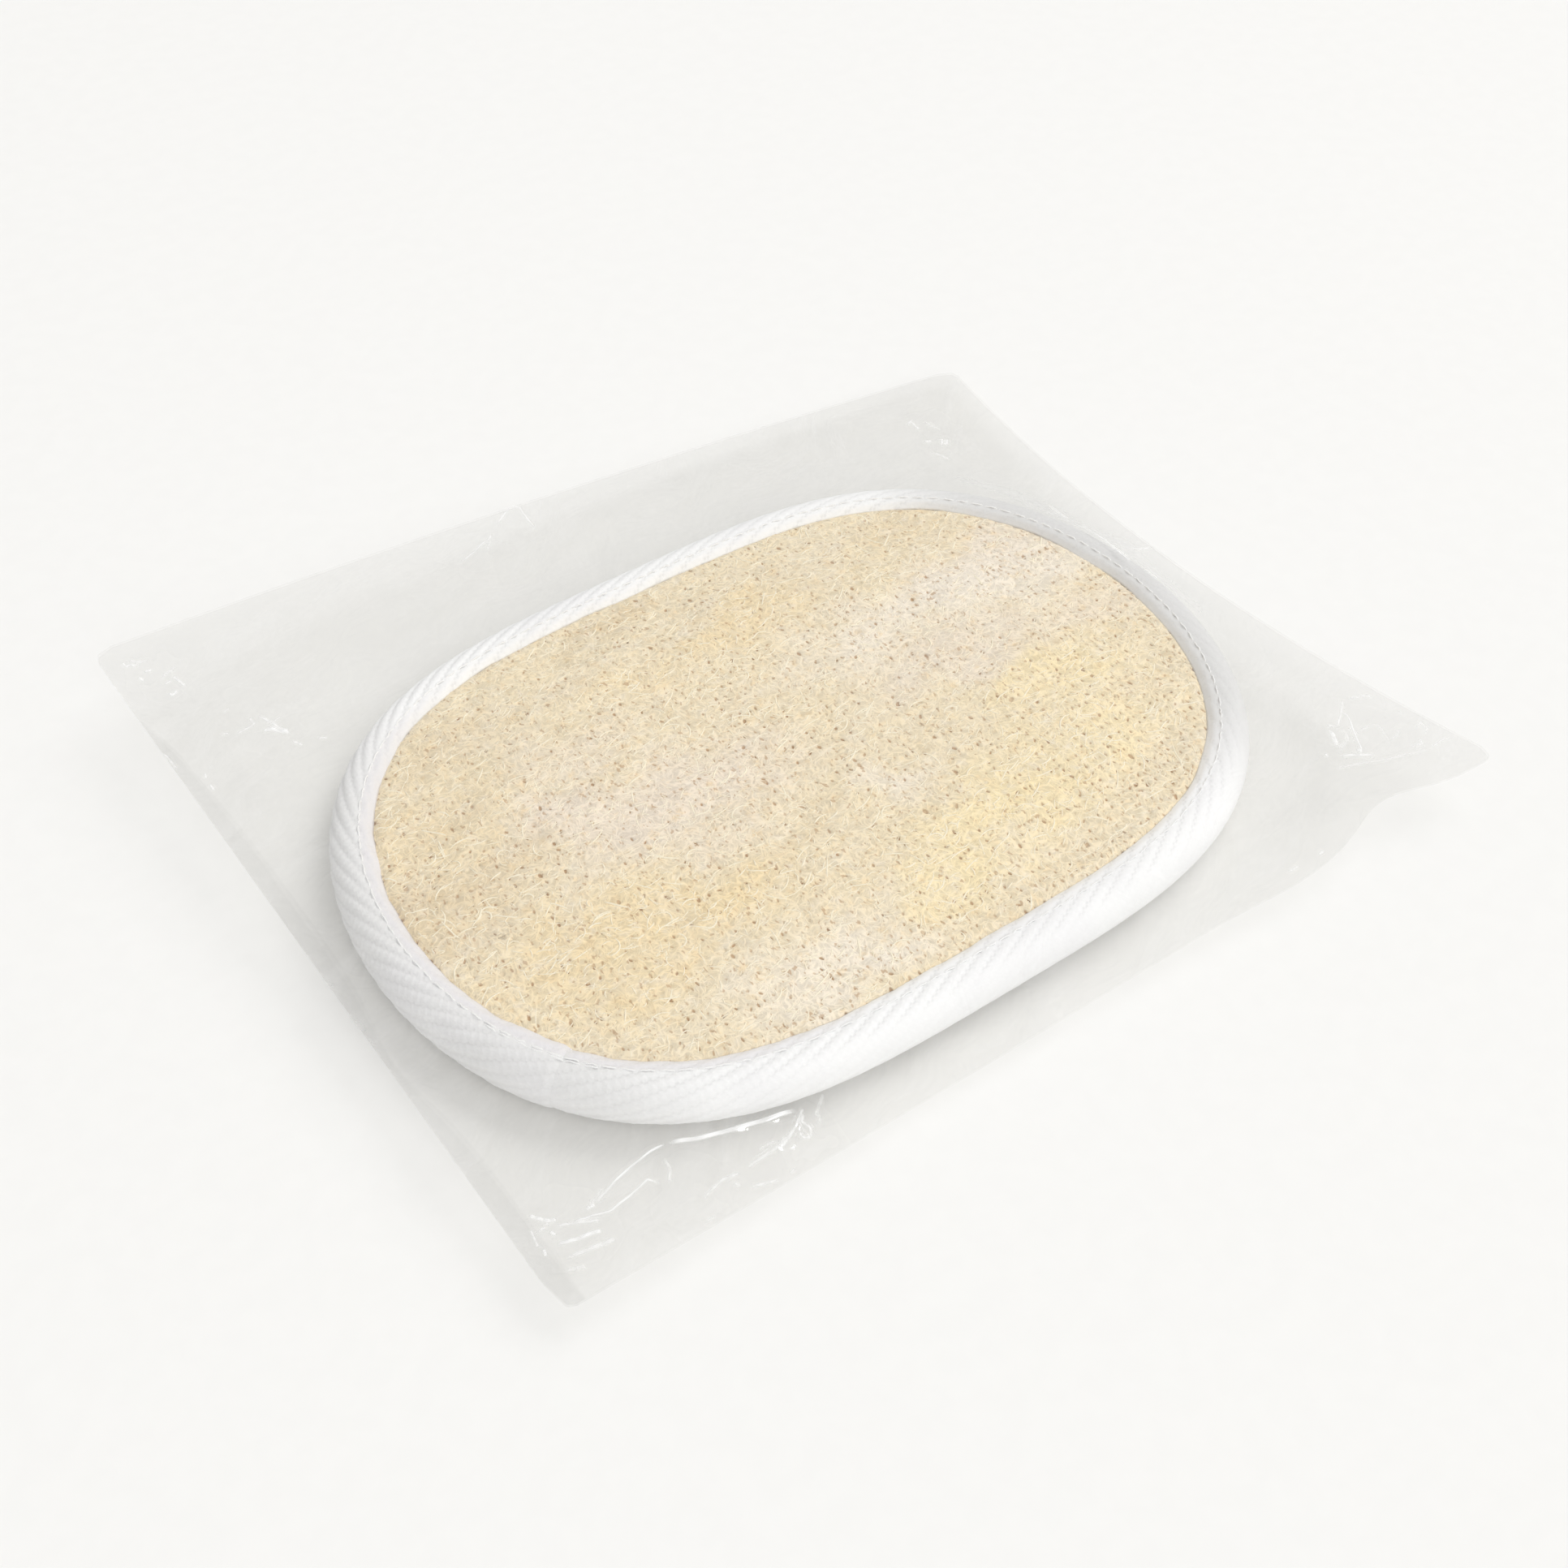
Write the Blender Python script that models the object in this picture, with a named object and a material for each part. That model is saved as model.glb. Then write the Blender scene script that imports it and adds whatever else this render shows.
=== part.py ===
"""An oval bath pad of natural loofah, bound with folded twill tape, lying in a flat clear film bag.

Lengths are in metres and +Z is up. The bag lies on the plane z = 0 with its box centred on the origin.
The pad rests inside the bag, a little nearer the front edge, with its long axis along X.
"""

import math

import bmesh
import bpy
import numpy as np

# The loofah face that shows inside the binding is |x/a|^END_POWER + |y/b|^SIDE_POWER = 1
FACE_HALF_LENGTH = 0.0680
FACE_HALF_WIDTH = 0.0465
END_POWER = 3.66
SIDE_POWER = 2.0
PAD_CENTRE = (-0.0027, -0.0093, 0.0)

# The binding: tape folded round the rim, with its two flanges sewn through the pad
BINDING_WIDTH = 0.0071
BINDING_HEIGHT = 0.0049
BINDING_RADIUS = 0.0042
TAPE_THICKNESS = 0.0008
FLANGE_DROP = 0.0005
STITCH_INSET = 0.0021
STITCH_GROOVE = 0.00035
STITCH_GROOVE_HALF = 0.0004
THREAD_RADIUS = 0.0002
THREAD_CLEARANCE = 0.0002

# Each layer: the heights of its lower and upper faces at the centre, at the binding's inner edge and
# at its own rim, and how far that rim reaches out under the tape
LOOFAH_CENTRE = (0.0072, 0.0104)
LOOFAH_EDGE = (0.0057, 0.0075)
LOOFAH_RIM = (0.0057, 0.0078)
LOOFAH_REACH = (0.0054, 0.0034)
FOAM_CENTRE = (0.0030, 0.0069)
FOAM_EDGE = (0.0040, 0.0054)
FOAM_RIM = (0.0040, 0.0054)
FOAM_REACH = (0.0056, 0.0056)
TERRY_CENTRE = (0.0004, 0.0027)
TERRY_EDGE = (0.0022, 0.0037)
TERRY_RIM = (0.0020, 0.0037)
TERRY_REACH = (0.0034, 0.0054)
DOME_FRACTION = 0.42

# The bag: four corners, left back first and then clockwise from above, and how far the middle of each
# edge lies from the straight line between its corners
BAG_CORNERS = (
    (-0.0857, 0.0717, 0.0120),
    (0.0863, 0.0632, 0.0020),
    (0.0858, -0.0733, 0.0080),
    (-0.0832, -0.0703, 0.0050),
)
BAG_EDGE_BOWS = (
    (0.0, 0.0045, -0.0020),
    (-0.0065, 0.0, -0.0005),
    (0.0, 0.0035, -0.0040),
    (0.0, 0.0, 0.0),
)
BAG_CORNER_CUT = 0.0035
FILM_THICKNESS = 0.0001
PIECE_GAP = 0.0003
ROLL_GAP = 0.00045

# Colours (red, green, blue), with the roughness of each piece
LOOFAH_CREAM = (0.84, 0.74, 0.55)
FOAM_CREAM = (0.93, 0.90, 0.80)
TERRY_WHITE = (0.93, 0.93, 0.91)
TAPE_WHITE = (0.92, 0.92, 0.91)
THREAD_WHITE = (0.95, 0.95, 0.94)
FILM_CLEAR = (0.93, 0.94, 0.93)
FIBRE_ROUGHNESS = 0.85
CLOTH_ROUGHNESS = 0.95
TAPE_ROUGHNESS = 0.90
THREAD_ROUGHNESS = 0.60
FILM_ROUGHNESS = 0.12
FILM_ALPHA = 0.2

# How finely the outlines are divided
PAD_STEPS = 56
EDGE_STEPS = 12
CORNER_STEPS = 3
TRACE_STEPS = 4096
TRACE_HALVINGS = 40
FACE_RINGS = (0.36, 0.68, 0.84, 0.93)
ROLL_STEPS = 3
SLOPE_STEPS = 4
THREAD_SIDES = 6
FOLD_ANGLES = tuple(math.radians(a) for a in (90.0, 62.0, 36.0, 12.0, -12.0, -36.0, -62.0, -90.0))
SHARP_ANGLE = math.radians(50.0)


def smooth_step(t):
    t = min(max(t, 0.0), 1.0)
    return t * t * (3.0 - 2.0 * t)


def face_outline(count):
    """Points of the face outline, evenly spaced along it, with the outward direction at each."""
    angle = (np.arange(TRACE_STEPS) + 0.5) * (2.0 * math.pi / TRACE_STEPS)
    cosine = np.cos(angle)
    sine = np.sin(angle)
    x = FACE_HALF_LENGTH * np.sign(cosine) * np.abs(cosine) ** (2.0 / END_POWER)
    y = FACE_HALF_WIDTH * np.sign(sine) * np.abs(sine) ** (2.0 / SIDE_POWER)
    step = np.hypot(np.diff(x, append=x[0]), np.diff(y, append=y[0]))
    along = np.concatenate(([0.0], np.cumsum(step)))
    wanted = np.arange(count) * (along[-1] / count)
    x = np.interp(wanted, along, np.append(x, x[0]))
    y = np.interp(wanted, along, np.append(y, y[0]))
    return np.stack([x, y], 1), outward(x, y)


def outward(x, y):
    """Unit vectors across the face outline, from the gradient of its formula."""
    nx = END_POWER / FACE_HALF_LENGTH * np.sign(x) * np.abs(x / FACE_HALF_LENGTH) ** (END_POWER - 1.0)
    ny = SIDE_POWER / FACE_HALF_WIDTH * np.sign(y) * np.abs(y / FACE_HALF_WIDTH) ** (SIDE_POWER - 1.0)
    length = np.hypot(nx, ny)
    return np.stack([nx / length, ny / length], 1)


def face_point(direction):
    """The point of the face outline that lies in a direction, seen from the pad's centre."""
    low = 0.0
    high = 2.0 * FACE_HALF_LENGTH
    for _ in range(TRACE_HALVINGS):
        middle = (low + high) / 2.0
        x = abs(middle * direction[0]) / FACE_HALF_LENGTH
        y = abs(middle * direction[1]) / FACE_HALF_WIDTH
        if x ** END_POWER + y ** SIDE_POWER < 1.0:
            low = middle
        else:
            high = middle
    return np.array(direction) * low


def ring(points, normals, scale, offset, height):
    """A closed ring: the outline scaled about the centre, pushed outwards, and lifted."""
    flat = points * scale + normals * offset
    return [(x, y, height) for x, y in flat]


def skin(name, rings, start=None, end=None, closed=False):
    """A mesh object from rings of equal count, joined in turn, with a point or the first ring at its end.

    Each four-sided patch is cut in two. Past the middle ring the cut runs the other way, so that the
    upper face of a thin sheet is cut just as its lower face is and the two never cross.
    """
    bm = bmesh.new()
    loops = [[bm.verts.new(point) for point in one] for one in rings]
    count = len(loops[0])
    pairs = list(zip(loops, loops[1:]))
    if closed:
        pairs.append((loops[-1], loops[0]))
    for step, (lower, upper) in enumerate(pairs):
        for k in range(count):
            n = (k + 1) % count
            if step < len(pairs) / 2:
                bm.faces.new((lower[k], lower[n], upper[n]))
                bm.faces.new((lower[k], upper[n], upper[k]))
            else:
                bm.faces.new((lower[k], lower[n], upper[k]))
                bm.faces.new((lower[n], upper[n], upper[k]))
    for tip, loop in ((start, loops[0]), (end, loops[-1])):
        if tip is not None:
            point = bm.verts.new(tip)
            for k in range(count):
                bm.faces.new((point, loop[k], loop[(k + 1) % count]))
    bmesh.ops.recalc_face_normals(bm, faces=bm.faces)
    if bm.calc_volume(signed=True) < 0.0:
        bmesh.ops.reverse_faces(bm, faces=bm.faces)
    mesh = bpy.data.meshes.new(name)
    bm.to_mesh(mesh)
    bm.free()
    mesh.shade_smooth()
    mesh.set_sharp_from_angle(angle=SHARP_ANGLE)
    made = bpy.data.objects.new(name, mesh)
    bpy.context.collection.objects.link(made)
    return made


def finish(made, parent, colour, roughness, alpha=1.0):
    """Gives a piece its own material and hangs it on its group's empty."""
    material = bpy.data.materials.new(made.name)
    material.use_nodes = True
    shader = material.node_tree.nodes["Principled BSDF"]
    shader.inputs["Base Color"].default_value = (*colour, 1.0)
    shader.inputs["Roughness"].default_value = roughness
    shader.inputs["Metallic"].default_value = 0.0
    shader.inputs["Alpha"].default_value = alpha
    made.data.materials.append(material)
    made.parent = parent
    return made


def group(name, place):
    holder = bpy.data.objects.new(name, None)
    holder.location = place
    bpy.context.collection.objects.link(holder)
    return holder


def layer(name, centre, edge, rim, reach):
    """One soft layer: domed over the middle, thinner at the binding, its rim held inside the fold."""
    points, normals = face_outline(PAD_STEPS)

    def face(side):
        rings = []
        for scale in FACE_RINGS:
            rise = smooth_step((1.0 - scale) / DOME_FRACTION)
            height = edge[side] + (centre[side] - edge[side]) * rise
            rings.append(ring(points, normals, scale, 0.0, height))
        rings.append(ring(points, normals, 1.0, 0.0, edge[side]))
        rings.append(ring(points, normals, 1.0, reach[side], rim[side]))
        return rings

    lower = face(0)
    upper = face(1)
    return skin(name, lower + upper[::-1], start=(0.0, 0.0, centre[0]), end=(0.0, 0.0, centre[1]))


def flange_height(offset):
    """Height of the tape's outer face above the middle of the fold, across one flange."""
    hinge = BINDING_WIDTH - BINDING_RADIUS
    return BINDING_RADIUS - FLANGE_DROP * ((hinge - offset) / hinge) ** 2


def binding_section():
    """The C-shaped section of the folded tape, as (offset, height) pairs round its whole edge."""
    hinge = BINDING_WIDTH - BINDING_RADIUS
    groove = (
        (0.0, 0.0),
        (STITCH_INSET - STITCH_GROOVE_HALF, 0.0),
        (STITCH_INSET, STITCH_GROOVE),
        (STITCH_INSET + STITCH_GROOVE_HALF, 0.0),
    )
    upper = [(offset, flange_height(offset) - depth) for offset, depth in groove]
    outer = [(hinge + BINDING_RADIUS * math.cos(a), BINDING_RADIUS * math.sin(a)) for a in FOLD_ANGLES]
    outside = upper + outer + [(offset, -height) for offset, height in upper[::-1]]
    bore = BINDING_RADIUS - TAPE_THICKNESS
    inner = [(hinge + bore * math.cos(a), bore * math.sin(a)) for a in FOLD_ANGLES[::-1]]
    lip = flange_height(0.0) - TAPE_THICKNESS
    inside = [(0.0, -lip)] + inner + [(0.0, lip)]
    return [(offset, BINDING_HEIGHT + height) for offset, height in outside + inside]


def binding_tape():
    points, normals = face_outline(PAD_STEPS)
    rings = [ring(points, normals, 1.0, offset, height) for offset, height in binding_section()]
    return skin("binding_tape", rings, closed=True)


def stitch_thread(name, side):
    """The sewing thread as one even line in the tape's groove, above or below the pad."""
    points, normals = face_outline(PAD_STEPS)
    bed = flange_height(STITCH_INSET) - STITCH_GROOVE
    centre = BINDING_HEIGHT + side * (bed + THREAD_CLEARANCE + THREAD_RADIUS)
    rings = []
    for k in range(THREAD_SIDES):
        turn = 2.0 * math.pi * k / THREAD_SIDES
        offset = STITCH_INSET + THREAD_RADIUS * math.cos(turn)
        rings.append(ring(points, normals, 1.0, offset, centre + THREAD_RADIUS * math.sin(turn)))
    return skin(name, rings, closed=True)


def bag_rim():
    """Points round the bag's rim: four bowed edges joined by small rounded corners."""
    corners = [np.array(corner) for corner in BAG_CORNERS]
    edges = []
    for k, bow in enumerate(BAG_EDGE_BOWS):
        begin, end = corners[k], corners[(k + 1) % 4]
        control = (begin + end) / 2.0 + 2.0 * np.array(bow)
        cut = BAG_CORNER_CUT / np.linalg.norm(end - begin)
        steps = np.linspace(cut, 1.0 - cut, EDGE_STEPS + 1)
        edges.append([curve_point(begin, control, end, t) for t in steps])
    rim = []
    for k, edge in enumerate(edges):
        following = edges[(k + 1) % 4]
        corner = corners[(k + 1) % 4]
        steps = np.linspace(0.0, 1.0, CORNER_STEPS + 1)[1:-1]
        rim += edge + [curve_point(edge[-1], corner, following[0], t) for t in steps]
    return rim[::-1]


def curve_point(begin, control, end, t):
    return begin * (1.0 - t) ** 2 + control * (2.0 * t * (1.0 - t)) + end * t ** 2


def bag_rays():
    """For each rim point: where its ray from the pad's centre crosses the hinge of the binding's roll."""
    centre = np.array(PAD_CENTRE)
    rays = []
    for rim in bag_rim():
        direction = (rim - centre)[:2]
        direction = direction / np.linalg.norm(direction)
        point = face_point(direction)
        hinge = point + outward(point[:1], point[1:])[0] * (BINDING_WIDTH - BINDING_RADIUS)
        rays.append((rim, centre[:2] + point, centre[:2] + hinge))
    return rays


def film(name, lower_rings, centre_height):
    """A film panel: the rings of its lower face, and the same rings one thickness higher."""
    upper_rings = [[(x, y, z + FILM_THICKNESS) for x, y, z in one] for one in lower_rings]
    low = (PAD_CENTRE[0], PAD_CENTRE[1], centre_height)
    high = (PAD_CENTRE[0], PAD_CENTRE[1], centre_height + FILM_THICKNESS)
    return skin(name, lower_rings + upper_rings[::-1], start=low, end=high)


def face_rings(rays, height_at):
    """Film rings over or under the pad's face, each at the height that its scale asks for."""
    centre = np.array(PAD_CENTRE[:2])
    rings = []
    for scale in FACE_RINGS + (1.0,):
        height = height_at(scale)
        rings.append([(*(centre + (face - centre) * scale), height) for _, face, _ in rays])
    return rings


def bag_back_film():
    """The lower panel: flat on the table under the pad, then curling up to the rim."""
    rays = bag_rays()
    rings = face_rings(rays, lambda scale: 0.0)
    for step in range(SLOPE_STEPS + 1):
        t = step / SLOPE_STEPS
        one = []
        for rim, _, hinge in rays:
            x, y = hinge + (rim[:2] - hinge) * t
            one.append((x, y, (rim[2] - FILM_THICKNESS - PIECE_GAP / 2.0) * t ** 2))
        rings.append(one)
    return film("bag_back_film", rings, 0.0)


def bag_front_film():
    """The upper panel: over the dome, round the binding's shoulder, then straight to the rim."""
    rays = bag_rays()
    reach = BINDING_RADIUS + ROLL_GAP
    crown = BINDING_HEIGHT + reach
    dome = LOOFAH_CENTRE[1] + PIECE_GAP

    def over_face(scale):
        return crown + (dome - crown) * smooth_step((1.0 - scale) / DOME_FRACTION)

    rings = face_rings(rays, over_face)
    rolled = [[] for _ in range(ROLL_STEPS + SLOPE_STEPS)]
    for rim, _, hinge in rays:
        run = np.linalg.norm(rim[:2] - hinge)
        across = (rim[:2] - hinge) / run
        end = (run, rim[2] + PIECE_GAP / 2.0 - BINDING_HEIGHT)
        lift = math.atan2(end[1], end[0]) + math.acos(reach / math.hypot(*end))
        for k in range(ROLL_STEPS):
            turn = math.pi / 2.0 + (lift - math.pi / 2.0) * k / (ROLL_STEPS - 1)
            x, y = hinge + across * (reach * math.cos(turn))
            rolled[k].append((x, y, BINDING_HEIGHT + reach * math.sin(turn)))
        touch = (reach * math.cos(lift), reach * math.sin(lift))
        for k in range(SLOPE_STEPS):
            t = (k + 1) / SLOPE_STEPS
            x, y = hinge + across * (touch[0] + (end[0] - touch[0]) * t)
            height = BINDING_HEIGHT + touch[1] + (end[1] - touch[1]) * t
            rolled[ROLL_STEPS + k].append((x, y, height))
    return film("bag_front_film", rings + rolled, dome)


def build():
    for old in list(bpy.data.objects):
        bpy.data.objects.remove(old, do_unlink=True)

    pad = group("pad", PAD_CENTRE)
    bag = group("bag", (0.0, 0.0, 0.0))

    loofah = layer("loofah_mat", LOOFAH_CENTRE, LOOFAH_EDGE, LOOFAH_RIM, LOOFAH_REACH)
    finish(loofah, pad, LOOFAH_CREAM, FIBRE_ROUGHNESS)
    foam = layer("foam_filling", FOAM_CENTRE, FOAM_EDGE, FOAM_RIM, FOAM_REACH)
    finish(foam, pad, FOAM_CREAM, CLOTH_ROUGHNESS)
    terry = layer("terry_back", TERRY_CENTRE, TERRY_EDGE, TERRY_RIM, TERRY_REACH)
    finish(terry, pad, TERRY_WHITE, CLOTH_ROUGHNESS)

    finish(binding_tape(), pad, TAPE_WHITE, TAPE_ROUGHNESS)
    finish(stitch_thread("needle_thread", 1.0), pad, THREAD_WHITE, THREAD_ROUGHNESS)
    finish(stitch_thread("bobbin_thread", -1.0), pad, THREAD_WHITE, THREAD_ROUGHNESS)

    finish(bag_front_film(), bag, FILM_CLEAR, FILM_ROUGHNESS, FILM_ALPHA)
    finish(bag_back_film(), bag, FILM_CLEAR, FILM_ROUGHNESS, FILM_ALPHA)


build()
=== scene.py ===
"""A natural loofah bath pad bound with twill tape, lying in a flat clear film bag on a pale floor.

Lengths are in metres and +Z is up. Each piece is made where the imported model's own node lies.
"""

import math
import random

import bmesh
import bpy
import numpy as np
from mathutils import Matrix, Vector


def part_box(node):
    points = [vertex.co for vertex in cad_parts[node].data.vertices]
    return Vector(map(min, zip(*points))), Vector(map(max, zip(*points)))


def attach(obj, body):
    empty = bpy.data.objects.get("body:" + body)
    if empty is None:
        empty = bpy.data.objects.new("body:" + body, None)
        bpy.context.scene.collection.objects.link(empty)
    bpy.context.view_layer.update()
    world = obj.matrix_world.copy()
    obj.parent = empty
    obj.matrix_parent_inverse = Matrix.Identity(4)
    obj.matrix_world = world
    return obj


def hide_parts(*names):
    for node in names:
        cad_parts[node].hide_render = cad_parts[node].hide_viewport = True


bl_info = {
    "name": "Loofah Pad in a Clear Bag",
    "version": (1, 0, 0),
    "blender": (4, 5, 0),
    "location": "3D View > Sidebar > Loofah Pad",
    "description": "Builds a bound loofah bath pad and the clear film bag it lies in",
    "category": "Add Mesh",
}

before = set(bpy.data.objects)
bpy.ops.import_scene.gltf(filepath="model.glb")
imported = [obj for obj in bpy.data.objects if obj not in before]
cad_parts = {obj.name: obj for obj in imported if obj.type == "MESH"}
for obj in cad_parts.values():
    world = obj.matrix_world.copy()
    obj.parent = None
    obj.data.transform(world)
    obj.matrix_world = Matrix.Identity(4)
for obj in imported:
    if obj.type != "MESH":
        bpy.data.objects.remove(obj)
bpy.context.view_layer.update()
TAPE_LOW, TAPE_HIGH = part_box("binding_tape")

MM = 0.001
TAU = 2.0 * math.pi
TRACE_STEPS = 4096
CLIP_PLANES = 96
SIDE_LIFT = 1.0
SWELL_WAVES = 9
WELD = 1e-7
SENSOR_WIDTH = 36.0
FLOOR_HALF = 6.0
FLOOR_DROP = 0.1 * MM

# The folded tape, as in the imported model: reach across one flange, half height of the fold and its middle
BINDING_WIDTH = 7.1 * MM
BINDING_RADIUS = 4.2 * MM
BINDING_MIDDLE = 4.9 * MM
HINGE = BINDING_WIDTH - BINDING_RADIUS
FLANGE_DROP = 0.5 * MM
STITCH_INSET = 2.1 * MM
STITCH_LENGTH = 2.5 * MM
THREAD_RADIUS = 0.14 * MM

# Heights along one stitch in millimetres, and the extra stitches in a second row over the tape's join
STITCH_RISE = (-0.30, -0.02, 0.05, 0.07, 0.05, -0.02)
PATH_POINTS = len(STITCH_RISE)
EXTRA_STITCHES = 7
EXTRA_BEFORE = 5.0
EXTRA_SHIFT = 0.45 * MM

# Each layer of the pad: heights of its lower and upper faces at the centre, at the binding and at its rim,
# and how far the layer reaches under the tape
DOME_FRACTION = 0.42
LOOFAH_HEIGHTS = ((7.2, 5.7, 5.7), (9.50, 7.70, 7.70), 3.4)
FOAM_HEIGHTS = ((3.1, 4.1, 4.1), (6.8, 5.3, 5.3), 5.4)
TERRY_HEIGHTS = ((0.75, 2.45, 2.3), (2.7, 3.7, 3.7), 3.4)
FOAM_CELL = 2.6 * MM
TERRY_CELL = 1.45 * MM

# The loofah's rounded shoulder beside the tape, its slow unevenness, and how near the tape fibres lie
SHOULDER = 0.80 * MM
SHOULDER_START = 0.55 * MM
SHOULDER_RUN = 1.6 * MM
UNEVENNESS = 0.14 * MM
FIBRE_MARGIN = 0.9 * MM
FIBRE_ROOM = 0.35 * MM

# The film: its height over the pad's middle, its room above the tape, between the panels and above the floor, the
# softness of the welded band's edge, the reach of a corner cut, and the crease distance that means none is near
FILM_CROWN = 11.15 * MM
TAPE_CLEARANCE = 0.62 * MM
PANEL_CLEARANCE = 0.25 * MM
LEAST_HEIGHT = 0.02 * MM
SEAL_EDGE = 0.15 * MM
CORNER_REACH = 12.0 * MM
NO_CREASE = 9.0

# Where the tape's cut end shows
TAPE_JOIN = (-61.9 * MM, -38.0 * MM)
TAPE_OVERLAP = 8.0 * MM

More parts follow.
